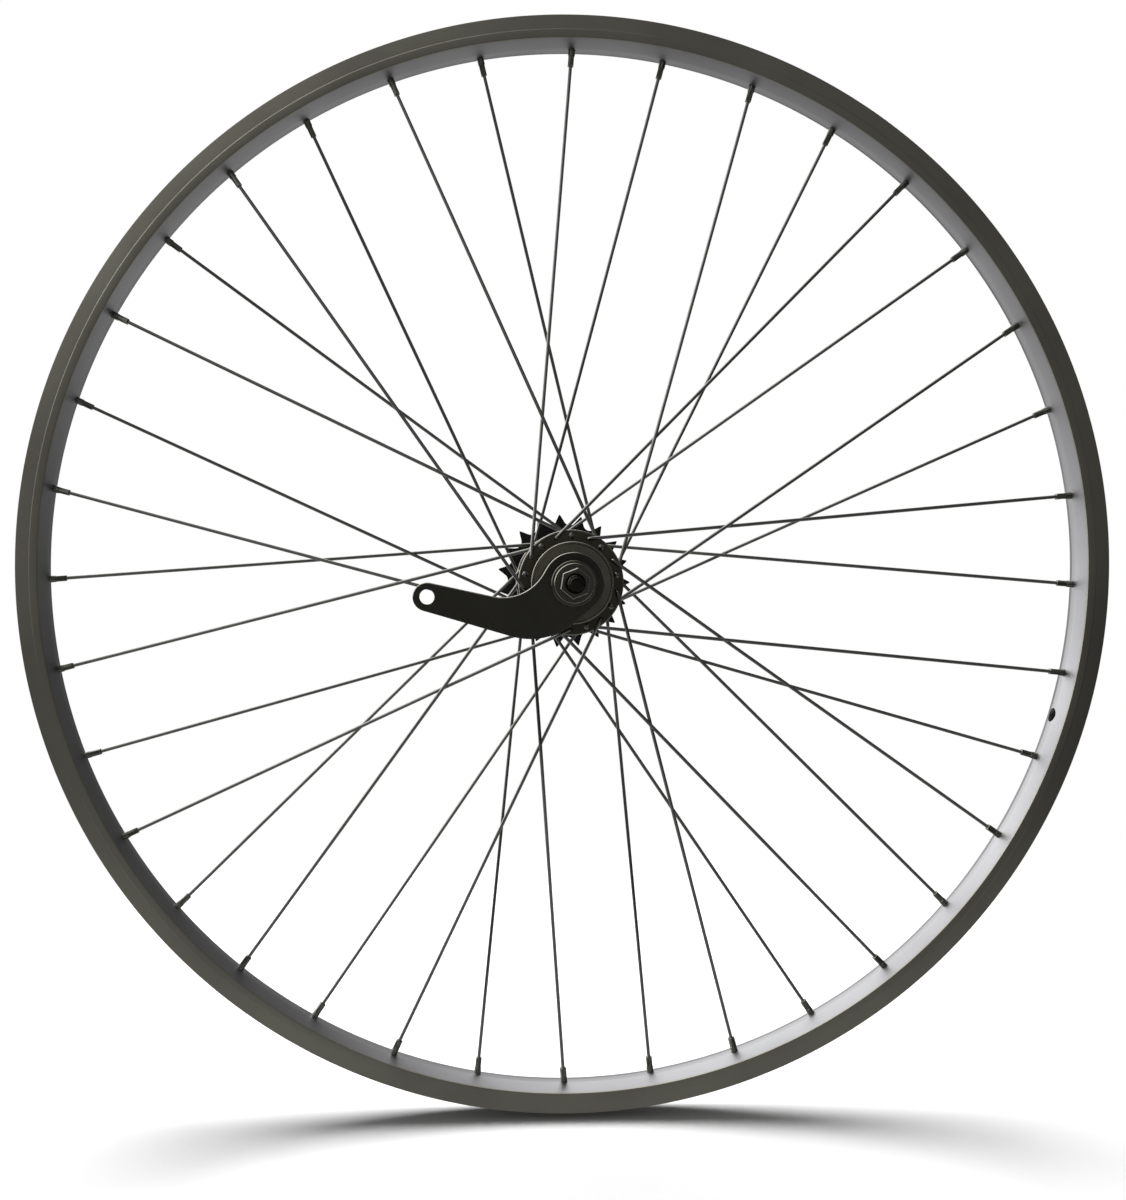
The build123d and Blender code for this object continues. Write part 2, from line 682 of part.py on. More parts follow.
with BuildPart() as brake_arm:
    with BuildSketch(side_plane(arm_inner_y)) as arm_outline:
        with BuildLine():
            Polyline(
                tip_top,
                neck_corner,
                neck_out * arm_eye_radius,
                (0, 0),
                heel_out * arm_eye_radius,
                belly_corner,
                tip_bottom,
                close=True,
            )
        make_face()
        fillet(arm_outline.vertices().sort_by_distance(neck_corner)[0], arm_neck_radius)
        fillet(arm_outline.vertices().sort_by_distance(belly_corner)[0], arm_belly_radius)
        Circle(arm_eye_radius)
        with Locations(arm_tip):
            Circle(arm_tip_radius)
    extrude(amount=arm_thickness)
    chamfer(brake_arm.edges().group_by(Axis.Y)[0], arm_edge_chamfer)
    with BuildSketch(side_plane(arm_inner_y)):
        Circle(arm_boss_diameter / 2 + arm_boss_clearance)
        Rectangle(2 * arm_boss_diameter, arm_boss_flats + 2 * arm_boss_clearance, mode=Mode.INTERSECT)
        with Locations(arm_tip):
            Circle(arm_tip_hole_diameter / 2)
    extrude(amount=arm_thickness, mode=Mode.SUBTRACT)
finish(brake_arm.part, "brake_arm")

with BuildPart() as arm_lock_nut:
    hexagon(arm_lock_nut_across_flats, arm_outer_y, left_hub_end, lock_nut_chamfer)
    axle_bore(arm_outer_y, left_hub_end)
finish(arm_lock_nut.part, "arm_lock_nut")

# Brake shoes: two halves of a ring with a taper at each end

with BuildPart() as shoe_ring:
    turned(
        (shoe_radius, shoe_left_y),
        (shoe_radius, shoe_right_y),
        (shoe_bore_radius + taper * shoe_taper_length, shoe_right_y),
        (shoe_bore_radius, shoe_right_y - shoe_taper_length),
        (shoe_bore_radius, shoe_left_y + shoe_taper_length),
        (shoe_bore_radius + taper * shoe_taper_length, shoe_left_y),
    )
    for groove in range(shoe_groove_count):
        groove_y = shoe_left_y + (groove + 1) * shoe_length / (shoe_groove_count + 1)
        turned(
            (shoe_radius - shoe_groove_depth, groove_y - shoe_groove_width / 2),
            (brake_bore_radius, groove_y - shoe_groove_width / 2),
            (brake_bore_radius, groove_y + shoe_groove_width / 2),
            (shoe_radius - shoe_groove_depth, groove_y + shoe_groove_width / 2),
            mode=Mode.SUBTRACT,
        )

for shoe_name, shoe_side in (("upper_brake_shoe", 1), ("lower_brake_shoe", -1)):
    with BuildPart() as brake_shoe:
        add(shoe_ring.part)
        edge_plane = Plane.XY.offset(shoe_side * (key_width / 2 + key_clearance))
        split(bisect_by=edge_plane, keep=Keep.TOP if shoe_side > 0 else Keep.BOTTOM)
    finish(brake_shoe.part, shoe_name)

# Clutch cone, which slides on the driver's screw, and its retarder spring

with BuildPart() as clutch_cone:
    turned(
        (clutch_bore_radius, clutch_left_y),
        (clutch_nose_radius, clutch_left_y),
        (clutch_nose_radius + taper * (clutch_body_left_y - clutch_left_y), clutch_body_left_y),
        (clutch_body_radius, clutch_body_left_y),
        (clutch_body_radius, clutch_right_y - drive_taper_length),
        (clutch_body_radius - taper * drive_taper_length, clutch_right_y),
        (clutch_bore_radius, clutch_right_y),
    )
    turned(
        (spring_groove_radius, spring_groove_y - spring_groove_width / 2),
        (brake_bore_radius, spring_groove_y - spring_groove_width / 2),
        (brake_bore_radius, spring_groove_y + spring_groove_width / 2),
        (spring_groove_radius, spring_groove_y + spring_groove_width / 2),
        mode=Mode.SUBTRACT,
    )
finish(clutch_cone.part, "clutch_cone")

with BuildPart() as retarder_spring:
    with BuildSketch():
        with Locations((spring_radius, spring_groove_y)):
            Circle(spring_wire_diameter / 2)
    revolve(axis=Axis.Y, revolution_arc=360 - spring_opening)
finish(retarder_spring.part, "retarder_spring")

# Drive side: the driver, its sprocket, snap ring and dust cover

with BuildPart() as driver:
    turned(
        (driver_bore_radius, driver_left_y),
        (driver_screw_radius, driver_left_y),
        (driver_screw_radius, driver_screw_end_y),
        (shell_cone_radius, driver_screw_end_y),
        (shell_cone_radius, inner_bearing_y),
        (driver_neck_radius, inner_bearing_y),
        (driver_neck_radius, driver_shoulder_y),
        (driver_shoulder_radius, driver_shoulder_y),
        (driver_shoulder_radius, sprocket_left_y),
        (driver_seat_radius, sprocket_left_y),
        (driver_seat_radius, driver_right_y),
        (driver_cup_radius, driver_right_y),
        (driver_cup_radius, outer_bearing_y),
        (driver_counterbore_radius, outer_bearing_y),
        (driver_counterbore_radius, outer_bearing_y - driver_counterbore_depth),
        (driver_bore_radius, outer_bearing_y - driver_counterbore_depth),
    )
    ball_groove(shell_ball_circle, inner_bearing_y)
    ball_groove(driver_ball_circle, outer_bearing_y)
    turned(
        (snap_ring_groove_radius, sprocket_right_y),
        (driver_shoulder_radius, sprocket_right_y),
        (driver_shoulder_radius, snap_ring_end_y + snap_ring_clearance),
        (snap_ring_groove_radius, snap_ring_end_y + snap_ring_clearance),
        mode=Mode.SUBTRACT,
    )
    with BuildSketch(side_plane(driver_right_y)):
        with PolarLocations(driver_seat_radius, driver_key_count):
            Rectangle(2 * driver_key_depth, driver_key_width)
    extrude(amount=driver_right_y - sprocket_left_y, mode=Mode.SUBTRACT)
finish(driver.part, "driver")

with BuildPart() as sprocket:
    with BuildSketch(side_plane(sprocket_right_y)) as sprocket_face:
        with BuildLine():
            for tooth in range(sprocket_teeth):
                tooth_angle = sprocket_tooth_angle + tooth * 360 / sprocket_teeth
                gap_angle = tooth_angle + 180 / sprocket_teeth
                next_angle = gap_angle + 180 / sprocket_teeth
                root = Vector(tooth_root_radius, 0)
                rising = root.rotate(Axis.Z, tooth_angle - tooth_root_angle)
                tip = Vector(sprocket_tip_radius, 0).rotate(Axis.Z, tooth_angle)
                falling = root.rotate(Axis.Z, tooth_angle + tooth_root_angle)
                seat = Vector(sprocket_pitch_radius - roller_seat_radius, 0).rotate(Axis.Z, gap_angle)
                following = root.rotate(Axis.Z, next_angle - tooth_root_angle)
                Polyline(rising, tip, falling)
                ThreePointArc(falling, seat, following)
        make_face()
        tooth_tips = sprocket_face.vertices().sort_by(SortBy.DISTANCE)[-sprocket_teeth:]
        fillet(tooth_tips, sprocket_tooth_round)
        Circle(driver_seat_radius + sprocket_fit_clearance, mode=Mode.SUBTRACT)
        with PolarLocations(driver_seat_radius, driver_key_count):
            Rectangle(
                2 * (driver_key_depth - driver_key_clearance),
                driver_key_width - 2 * driver_key_clearance,
            )
    extrude(amount=sprocket_thickness)
    turned(
        (0, sprocket_left_y),
        (sprocket_tip_radius - 2 * sprocket_edge_chamfer, sprocket_left_y),
        (sprocket_tip_radius, sprocket_left_y + sprocket_edge_chamfer),
        (sprocket_tip_radius, sprocket_right_y - sprocket_edge_chamfer),
        (sprocket_tip_radius - 2 * sprocket_edge_chamfer, sprocket_right_y),
        (0, sprocket_right_y),
        mode=Mode.INTERSECT,
    )
finish(sprocket.part, "sprocket")

with BuildPart() as snap_ring:
    with BuildSketch():
        with BuildLine():
            Polyline(
                (snap_ring_groove_radius + snap_ring_clearance, sprocket_right_y),
                (snap_ring_groove_radius + snap_ring_width, sprocket_right_y),
                (snap_ring_groove_radius + snap_ring_width, snap_ring_end_y),
                (snap_ring_groove_radius + snap_ring_clearance, snap_ring_end_y),
                close=True,
            )
        make_face()
    revolve(axis=Axis.Y, revolution_arc=360 - snap_ring_opening)
finish(snap_ring.part, "snap_ring")

with BuildPart() as driver_dust_cover:
    turned(
        (driver_neck_radius + cover_fit_clearance, right_cover_y),
        (cover_radius, right_cover_y),
        (cover_radius, right_cover_y + cover_rim_height),
        (cover_radius - cover_rim_width, right_cover_y + cover_rim_height),
        (cover_radius - cover_rim_width, right_cover_y + cover_thickness),
        (driver_neck_radius + cover_rim_width, right_cover_y + cover_thickness),
        (driver_neck_radius + cover_rim_width, driver_shoulder_y),
        (driver_neck_radius + cover_fit_clearance, driver_shoulder_y),
    )
    rim_face = driver_dust_cover.faces().filter_by(Axis.Y).sort_by(SortBy.AREA)[0]
    fillet(rim_face.edges(), cover_rim_width * cover_roll)
finish(driver_dust_cover.part, "driver_dust_cover")

with BuildPart() as drive_cone:
    turned(
        (thread_radius, outer_bearing_y - drive_cone_nose),
        (drive_cone_radius, outer_bearing_y - drive_cone_nose),
        (drive_cone_radius, outer_bearing_y),
        (drive_cone_radius + race_shoulder, outer_bearing_y),
        (drive_cone_radius + race_shoulder, drive_cone_end_y),
        (thread_radius, drive_cone_end_y),
    )
    ball_groove(driver_ball_circle, outer_bearing_y)
finish(drive_cone.part, "drive_cone")

with BuildPart() as drive_cone_cap:
    cap_y = driver_right_y + drive_cone_cap_gap
    turned(
        (drive_cone_radius + race_shoulder + cover_fit_clearance, cap_y),
        (drive_cone_cap_radius, cap_y),
        (drive_cone_cap_radius, cap_y + cover_thickness),
        (drive_cone_radius + race_shoulder + cover_fit_clearance, cap_y + cover_thickness),
    )
finish(drive_cone_cap.part, "drive_cone_cap")

with BuildPart() as drive_lock_nut:
    hexagon(drive_lock_nut_across_flats, drive_cone_end_y, right_hub_end, lock_nut_chamfer)
    axle_bore(drive_cone_end_y, right_hub_end)
finish(drive_lock_nut.part, "drive_lock_nut")

# Caged ball bearings: left in the shell, inner between shell and driver, outer in the driver

for bearing_name, ball_circle, ball_count, ball_gap, bearing_y, outward in (
    ("left", shell_ball_circle, shell_ball_count, shell_ball_gap, left_bearing_y, -1),
    ("inner", shell_ball_circle, shell_ball_count, shell_ball_gap, inner_bearing_y, 1),
    ("outer", driver_ball_circle, driver_ball_count, driver_ball_gap, outer_bearing_y, 1),
):
    with BuildPart(side_plane(bearing_y)) as balls:
        with PolarLocations(ball_circle / 2, ball_count):
            Sphere(ball_radius)
    finish(balls.part, f"{bearing_name}_balls")

    plate_radius = ball_circle / 2 + race_radius - cage_race_gap
    plate_y = bearing_y + outward * (ball_radius + cage_ball_gap)
    with BuildPart() as ball_cage:
        turned(
            (plate_radius - cage_width, plate_y),
            (plate_radius, plate_y),
            (plate_radius, plate_y + outward * cage_thickness),
            (plate_radius - cage_width, plate_y + outward * cage_thickness),
        )
        with BuildSketch(side_plane(plate_y)):
            with PolarLocations(plate_radius - cage_width / 2, ball_count, 180 / ball_count):
                Rectangle(cage_finger_depth, ball_gap - 2 * cage_finger_clearance)
        extrude(amount=outward * cage_finger_reach)
    finish(ball_cage.part, f"{bearing_name}_ball_cage")
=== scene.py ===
"""Looks of a rear bicycle wheel: alloy rim, laced spokes, coaster brake hub, studio and camera.

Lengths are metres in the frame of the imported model. The axle lies along Y with the brake arm
towards -Y and the sprocket towards +Y, and Z is up. Angles run from +X towards +Z.
"""

import logging
import math
from collections.abc import Sequence
from dataclasses import dataclass, field
from enum import Enum

import bpy
from mathutils import Matrix, Vector


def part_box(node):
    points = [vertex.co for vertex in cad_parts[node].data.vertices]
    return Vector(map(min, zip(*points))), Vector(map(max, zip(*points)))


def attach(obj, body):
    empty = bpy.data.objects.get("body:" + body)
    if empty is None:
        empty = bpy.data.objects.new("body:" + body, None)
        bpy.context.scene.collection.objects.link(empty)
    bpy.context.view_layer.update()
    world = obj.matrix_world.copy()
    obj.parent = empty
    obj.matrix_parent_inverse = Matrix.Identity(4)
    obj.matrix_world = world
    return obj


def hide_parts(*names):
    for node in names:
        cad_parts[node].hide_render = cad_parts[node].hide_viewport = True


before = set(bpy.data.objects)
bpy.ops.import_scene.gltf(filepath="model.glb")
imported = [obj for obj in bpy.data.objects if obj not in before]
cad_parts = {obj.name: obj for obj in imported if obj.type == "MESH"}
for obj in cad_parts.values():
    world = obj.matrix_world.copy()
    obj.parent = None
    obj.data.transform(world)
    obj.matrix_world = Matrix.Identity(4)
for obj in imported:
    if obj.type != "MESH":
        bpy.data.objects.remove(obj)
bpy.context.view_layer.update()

log = logging.getLogger("wheel")

MM = 0.001
IMAGE_SIZE = (1126, 1200)
WHITE = "#ffffff"

# Axes that count in a distance from the axle and in a distance over the floor
AROUND_AXLE = (1.0, 0.0, 1.0)
OVER_FLOOR = (1.0, 1.0, 0.0)

# Patterns of the finishes: depth of the noise, and the share of its range in which two shades meet
BLOTCH_DETAIL = 4.0
BLOTCH_ENDS = (0.35, 0.65)
PATCH_DETAIL = 6.0
PATCH_ENDS = (0.3, 0.7)
PATCH_SIZE = 2.0
GRAIN_DETAIL = 2.0
LINE_DETAIL = 3.0

Tree = bpy.types.NodeTree
Node = bpy.types.Node
Socket = bpy.types.NodeSocket
Object = bpy.types.Object
Material = bpy.types.Material
Inputs = dict[str | int, object]


class Side(Enum):
    """Side of the wheel, with its direction along Y."""

    LEFT = -1
    RIGHT = 1


class Lean(Enum):
    """Way a spoke leans from the rim back to its flange, as a turn around the axle."""

    BACKWARD = -1
    FORWARD = 1


class Elbow(Enum):
    """Side of the flange on which a spoke's bend lies, with its direction away from the hub."""

    INSIDE = -1
    OUTSIDE = 1


def linear(colour: str) -> tuple[float, float, float, float]:
    """Turn an sRGB hex colour into linear light.

    Args:
        colour: The colour as "#rrggbb".

    Returns:
        Red, green, blue and an alpha of one.
    """
    channels = [int(colour[i : i + 2], 16) / 255 for i in (1, 3, 5)]
    light = [c / 12.92 if c <= 0.04045 else ((c + 0.055) / 1.055) ** 2.4 for c in channels]
    return (*light, 1.0)


def wheel_point(radius: float, angle: float, y: float) -> Vector:
    """Find a point from its radius, its angle in degrees around the axle and its place along Y."""
    turn = math.radians(angle)
    return Vector((radius * math.cos(turn), y, radius * math.sin(turn)))


def add_node(tree: Tree, kind: str, inputs: Inputs | None = None, **settings: object) -> Node:
    """Add a node with its settings, values and links.

    Args:
        tree: The tree that takes the node.
        kind: The node's type.
        inputs: For each input, the value to set or the socket to link.
        settings: The node's own properties.

    Returns:
        The node.
    """
    node = tree.nodes.new(kind)
    for name, value in settings.items():
        setattr(node, name, value)
    for key, value in (inputs or {}).items():
        if isinstance(value, Socket):
            tree.links.new(value, node.inputs[key])
        else:
            node.inputs[key].default_value = value
    return node


def maths(tree: Tree, operation: str, *values: float | Socket) -> Socket:
    """Add a maths node with its values and links in order, and return its result."""
    return add_node(tree, "ShaderNodeMath", dict(enumerate(values)), operation=operation).outputs[0]


def distance(tree: Tree, place: Socket, axes: tuple[float, float, float]) -> Socket:
    """Measure a place's distance from the origin along the axes that are one and not zero."""
    flat = add_node(tree, "ShaderNodeVectorMath", {0: place, 1: axes}, operation="MULTIPLY")
    length = add_node(tree, "ShaderNodeVectorMath", {0: flat.outputs[0]}, operation="LENGTH")
    return length.outputs["Value"]


def ramp(
    tree: Tree,
    value: Socket,
    ends: tuple[float, float],
    results: tuple[float | Socket, float | Socket] = (0.0, 1.0),
    smooth: bool = False,
) -> Socket:
    """Map a range of values onto another and hold it at both ends.

    Args:
        tree: The tree that takes the node.
        value: The value.
        ends: Both ends of its range.
        results: What it becomes there.
        smooth: Whether the ramp eases in and out.

    Returns:
        The result.
    """
    inputs: Inputs = {0: value, "From Min": ends[0], "From Max": ends[1]}
    inputs |= {"To Min": results[0], "To Max": results[1]}
    shape = "SMOOTHSTEP" if smooth else "LINEAR"
    return add_node(tree, "ShaderNodeMapRange", inputs, interpolation_type=shape).outputs[0]


def noise(tree: Tree, place: Socket, size: float, detail: float) -> Socket:
    """Draw noise in patches of a size with finer layers, from zero to one."""
    inputs: Inputs = {"Vector": place, "Scale": 1 / size, "Detail": detail}
    return add_node(tree, "ShaderNodeTexNoise", inputs).outputs[0]


def blend(tree: Tree, share: Socket, first: object, second: object) -> Socket:
    """Mix two colours or their sockets by the share of the second."""
    inputs: Inputs = {0: share, 6: first, 7: second}
    return add_node(tree, "ShaderNodeMix", inputs, data_type="RGBA").outputs[2]


def layered(tree: Tree, share: Socket, first: Node, second: Node) -> Node:
    """Mix two shaders by the share of the second."""
    inputs: Inputs = {0: share, 1: first.outputs[0], 2: second.outputs[0]}
    return add_node(tree, "ShaderNodeMixShader", inputs)


def rounded(
    corners: list[Vector], radii: list[float], steps: int, closed: bool = False
) -> list[Vector]:
    """Round the corners of a path with tangent arcs.

    Args:
        corners: The path's corners.
        radii: A radius for each corner, or zero to keep it sharp.
        steps: Number of chords in each arc.
        closed: Whether the path returns to its start.

    Returns:
        The path with each rounded corner replaced by the points of its arc.
    """
    points = []
    for n, (corner, radius) in enumerate(zip(corners, radii)):
        at_end = not closed and n in (0, len(corners) - 1)
        if radius == 0 or at_end:
            points.append(corner.copy())
            continue
        back = (corners[n - 1] - corner).normalized()
        onward = (corners[(n + 1) % len(corners)] - corner).normalized()
        half = back.angle(onward) / 2
        centre = corner + (back + onward).normalized() * (radius / math.sin(half))
        start = corner + back * (radius / math.tan(half)) - centre
        sweep = math.pi - 2 * half
        for step in range(steps + 1):
            angle = sweep * step / steps
            points.append(centre + start * math.cos(angle) - back * (radius * math.sin(angle)))
    return points


class PieceTree:
    """A Geometry Nodes tree with named inputs, which makes one piece as a plain mesh."""

    def __init__(self, name: str) -> None:
        """Make an empty tree with a name."""
        self.tree = bpy.data.node_groups.new(name, "GeometryNodeTree")
        self.tree.interface.new_socket(
            "Geometry", in_out="OUTPUT", socket_type="NodeSocketGeometry"
        )
        self.values: dict[str, object] = {}
        self.source = add_node(self.tree, "NodeGroupInput")

    def size(self, name: str, value: float | int | Object | Material) -> Socket:
        """Add a named input and keep the value that the piece takes.

        Args:
            name: The input's name.
            value: A length, count, object or material.

        Returns:
            The socket to link.
        """
        kinds = {float: "Float", int: "Int", Object: "Object", Material: "Material"}
        item = self.tree.interface.new_socket(
            name, in_out="INPUT", socket_type=f"NodeSocket{kinds[type(value)]}"
        )
        self.values[item.identifier] = value
        return self.source.outputs[name]

    def node(self, kind: str, inputs: Inputs | None = None, **settings: object) -> Node:
        """Add a node to the tree, as add_node does."""
        return add_node(self.tree, kind, inputs, **settings)

    def shape(self, name: str, source: Object) -> Socket:
        """Read an object's shape through a named input."""
        info = self.node("GeometryNodeObjectInfo", {"Object": self.size(name, source)})
        return info.outputs["Geometry"]

    def circle(self, sides: int | Socket, radius: float | Socket) -> Socket:
        """Draw a circle."""
        inputs: Inputs = {"Resolution": sides, "Radius": radius}
        return self.node("GeometryNodeCurvePrimitiveCircle", inputs, mode="RADIUS").outputs[0]

    def moved(self, shape: Socket, way: Sequence[float], turn: Sequence[float]) -> Socket:
        """Turn a shape around the origin and move it."""
        inputs: Inputs = {0: shape, "Translation": way, "Rotation": turn}
        return self.node("GeometryNodeTransform", inputs).outputs[0]

    def cut(self, shape: Socket, cutter: Socket, solver: str) -> Socket:
        """Take one shape out of another."""
        inputs: Inputs = {"Mesh 1": shape, "Mesh 2": cutter}
        settings = {"operation": "DIFFERENCE", "solver": solver}
        return self.node("GeometryNodeMeshBoolean", inputs, **settings).outputs["Mesh"]

    def make(self, name: str, geometry: Socket, finish: "Finish", sharp: float) -> Object:
        """Close the tree, evaluate it and keep its result as a plain mesh.

        Args:
            name: The piece's name.
            geometry: The socket with the finished shape.
            finish: The piece's finish.
            sharp: Angle in degrees past which an edge stays sharp.

        Returns:
            The piece, at the origin.
        """
        whole = self.node("GeometryNodeRealizeInstances", {0: geometry})
        coated = self.node(
            "GeometryNodeSetMaterial",
            {0: whole.outputs[0], "Material": self.size("Finish", finish.material())},
        )
        self.node("NodeGroupOutput", {0: coated.outputs[0]})
        piece = bpy.data.objects.new(name, bpy.data.meshes.new(name))
        bpy.context.scene.collection.objects.link(piece)
        modifier = piece.modifiers.new(name, "NODES")
        modifier.node_group = self.tree
        for identifier, value in self.values.items():
            modifier[identifier] = value
        depsgraph = bpy.context.evaluated_depsgraph_get()
        mesh = bpy.data.meshes.new_from_object(
            piece.evaluated_get(depsgraph), preserve_all_data_layers=True, depsgraph=depsgraph
        )
        piece.modifiers.remove(modifier)
        piece.data = mesh
        mesh.name = name
        mesh.shade_smooth()
        mesh.set_sharp_from_angle(angle=math.radians(sharp))
        log.info("%s: %d faces", name, len(mesh.polygons))
        return piece


def curve_object(
    name: str, points: list[Vector], radii: list[float] | None = None, closed: bool = False
) -> Object:
    """Make a curve of straight chords for a tree to read.

    Args:
        name: The curve's name.
        points: The curve's points.
        radii: The curve's radius at each point, or none for one everywhere.
        closed: Whether the curve returns to its start.

    Returns:
        The curve's object, which isn't linked to the scene.
    """
    curve = bpy.data.curves.new(name, "CURVE")
    curve.dimensions = "3D"
    spline = curve.splines.new("POLY")
    spline.points.add(len(points) - 1)
    for n, point in enumerate(points):
        spline.points[n].co = (*point, 1.0)
        spline.points[n].radius = radii[n] if radii else 1.0
    spline.use_cyclic_u = closed
    return bpy.data.objects.new(name, curve)


def swept(maker: PieceTree, path: Object, sides: int) -> Socket:
    """Sweep a circle of some sides along a path that keeps its own radii, and close its ends."""
    sweep = maker.node(
        "GeometryNodeCurveToMesh",
        {
            0: maker.shape("Path", path),
            1: maker.circle(maker.size("Sides", sides), 1.0),
            "Scale": maker.node("GeometryNodeInputRadius").outputs[0],
            "Fill Caps": True,
        },
    )
    return sweep.outputs[0]


@dataclass(frozen=True)
class Finish:
    """A surface with soft blotches of a second shade and uneven gloss.

    Attributes:
        name: The material's common name and how its surface was made.
        colour: Main colour.
        shade: Colour of the blotches.
        metallic: One for bare or plated metal, zero for paint.
        roughness: Mean roughness.
        unevenness: How far the roughness strays from its mean.
        blotch: Size of the blotches.
        grain: Size of the fine grain that lifts the surface.
        grain_depth: Height of that grain.
    """

    name: str
    colour: str
    shade: str
    metallic: float
    roughness: float
    unevenness: float = 0.06
    blotch: float = 12 * MM
    grain: float = 0.5 * MM
    grain_depth: float = 0.004 * MM

    def material(self) -> Material:
        """Make the material, or find it if it was made before."""
        made = bpy.data.materials.get(self.name)
        if made:
            return made
        made = bpy.data.materials.new(self.name)
        made.use_nodes = True
        tree = made.node_tree
        shader = tree.nodes["Principled BSDF"]
        shader.inputs["Metallic"].default_value = self.metallic
        place = add_node(tree, "ShaderNodeTexCoord").outputs["Object"]
        self.dress(tree, shader, place)
        return made

    def dress(self, tree: Tree, shader: Node, place: Socket) -> None:
        """Link colour, roughness and relief into the shader."""
        tree.links.new(self.tint(tree, place), shader.inputs["Base Color"])
        tree.links.new(self.gloss(tree, place), shader.inputs["Roughness"])
        bump = add_node(
            tree,
            "ShaderNodeBump",
            {"Strength": 1.0, "Distance": self.grain_depth, "Height": self.relief(tree, place)},
        )
        tree.links.new(bump.outputs[0], shader.inputs["Normal"])

    def tint(self, tree: Tree, place: Socket) -> Socket:
        """Mix the two colours in soft blotches."""
        blotches = noise(tree, place, self.blotch, BLOTCH_DETAIL)
        share = ramp(tree, blotches, BLOTCH_ENDS)
        return blend(tree, share, linear(self.colour), linear(self.shade))

    def gloss(self, tree: Tree, place: Socket) -> Socket:
        """Let the roughness stray in patches larger than the blotches."""
        patches = noise(tree, place, PATCH_SIZE * self.blotch, PATCH_DETAIL)
        limits = (self.roughness - self.unevenness, self.roughness + self.unevenness)
        return ramp(tree, patches, PATCH_ENDS, limits)

    def relief(self, tree: Tree, place: Socket) -> Socket:
        """Draw the fine grain, from zero to one."""
        return noise(tree, place, self.grain, GRAIN_DETAIL)


@dataclass(frozen=True)
class TurnedFinish(Finish):
    """Metal from a lathe, whose fine lines run around the axle.

    Attributes:
        line: Spacing of the turning lines.
    """

    line: float = 0.35 * MM

    def relief(self, tree: Tree, place: Socket) -> Socket:
        """Draw the turning lines by distance from the axle and along it, from zero to one."""
        along = add_node(tree, "ShaderNodeSeparateXYZ", {0: place}).outputs["Y"]
        reach = maths(tree, "ADD", distance(tree, place, AROUND_AXLE), along)
        lines = add_node(
            tree,
            "ShaderNodeTexNoise",
            {"W": reach, "Scale": 1 / self.line, "Detail": LINE_DETAIL},
            noise_dimensions="1D",
        )
        return lines.outputs[0]


@dataclass(frozen=True)
class RimFinish(TurnedFinish):
    """Anodised alloy hoop with darker brake tracks than its spoke bed.

    Attributes:
        track: Colour of the side walls.
        track_shade: Second colour of the side walls.
        track_start: Distance from the wheel's middle plane at which those colours start.
        track_blend: Width over which they take over from the bed's.
        well: Darker colour of the tyre well inside the hoop, a painted shade for that hollow.
        well_radius: Distance from the axle past which the tyre well lies, in the middle plane.
        well_slope: How fast that distance grows away from the middle plane.
    """

    track: str = "#b5b3a6"
    track_shade: str = "#aaa69b"
    track_start: float = 11.7 * MM
    track_blend: float = 0.2 * MM
    # Painted shade: the tyre well inside the hoop is darker than the bed
    well: str = "#7c7a74"
    well_radius: float = 302 * MM
    well_slope: float = 0.36

    def tint(self, tree: Tree, place: Socket) -> Socket:
        """Colour the side walls apart from the bed, and paint shade into the tyre well.

        Args:
            tree: The material's tree.
            place: Object coordinates.

        Returns:
            The colour.
        """
        bed = super().tint(tree, place)
        walls = Finish(self.name, self.track, self.track_shade, 1.0, 0.0, blotch=self.blotch)
        along = add_node(tree, "ShaderNodeSeparateXYZ", {0: place}).outputs["Y"]
        out = maths(tree, "ABSOLUTE", along)
        on_wall = ramp(tree, out, (self.track_start, self.track_start + self.track_blend))
        # Past a radius that grows away from the middle plane, the tyre well takes a darker colour:
        # painted shade
        radius = distance(tree, place, AROUND_AXLE)
        level = maths(tree, "MULTIPLY_ADD", out, -self.well_slope, radius)
        in_shaded_well = maths(tree, "GREATER_THAN", level, self.well_radius)
        bed_and_well_shade = blend(tree, in_shaded_well, bed, linear(self.well))
        return blend(tree, on_wall, bed_and_well_shade, walls.tint(tree, place))


# Satin anodised aluminium: a soft wide sheen, pale on the bed and greyer on the brake tracks
RIM_ALLOY = RimFinish(
    "satin_anodised_aluminium", "#b6b6b8", "#b0b0b2", 1.0, 0.42,
    blotch=60 * MM, grain_depth=0.01 * MM,
)
# Drawn stainless wire: bright, with a sharp highlight along its length
SPOKE_WIRE = Finish(
    "drawn_stainless_wire", "#a0a09c", "#959591", 1.0, 0.12, 0.03,
    blotch=5 * MM, grain_depth=0.001 * MM,
)
# Nickel-plated brass: a little darker and yellower than the wire
NIPPLE_PLATE = Finish("nickel_plated_brass", "#8f8e86", "#83827a", 1.0, 0.15, 0.04, blotch=3 * MM)
# Dull zinc plate on turned steel: dark olive grey with turning rings
HUB_STEEL = TurnedFinish(
    "dull_zinc_plated_steel", "#a09c8c", "#938f80", 1.0, 0.26, grain_depth=0.006 * MM
)
# The hub's shell: darker than the other hub steel, nearly black with fine turning rings
SHELL_STEEL = TurnedFinish("dark_turned_shell_steel", "#716e60", "#656255", 1.0, 0.28)
# Zinc-plated nuts and washers: grey and glossier than the hub, so that their edges catch light
NUT_STEEL = TurnedFinish("zinc_plated_steel", "#7e7c71", "#727066", 1.0, 0.2, blotch=6 * MM)
# Phosphated axle steel: dark, matt and oily
AXLE_STEEL = Finish("phosphated_axle_steel", "#45433d", "#38362f", 1.0, 0.42, blotch=4 * MM)
# Black stove enamel: nearly black with a soft gloss and a slight orange peel
ARM_ENAMEL = Finish(
    "black_stove_enamel", "#2a291f", "#25241b", 0.0, 0.42,
    blotch=25 * MM, grain=1.2 * MM, grain_depth=0.01 * MM,
)
# Bare steel on edges, partly where enamel or plate has rubbed off and partly a painted highlight: a
# bright thin line
WORN_HIGHLIGHT_STEEL = Finish("worn_highlight_steel", "#bbb8ae", "#aaa79d", 1.0, 0.36, blotch=4 * MM)
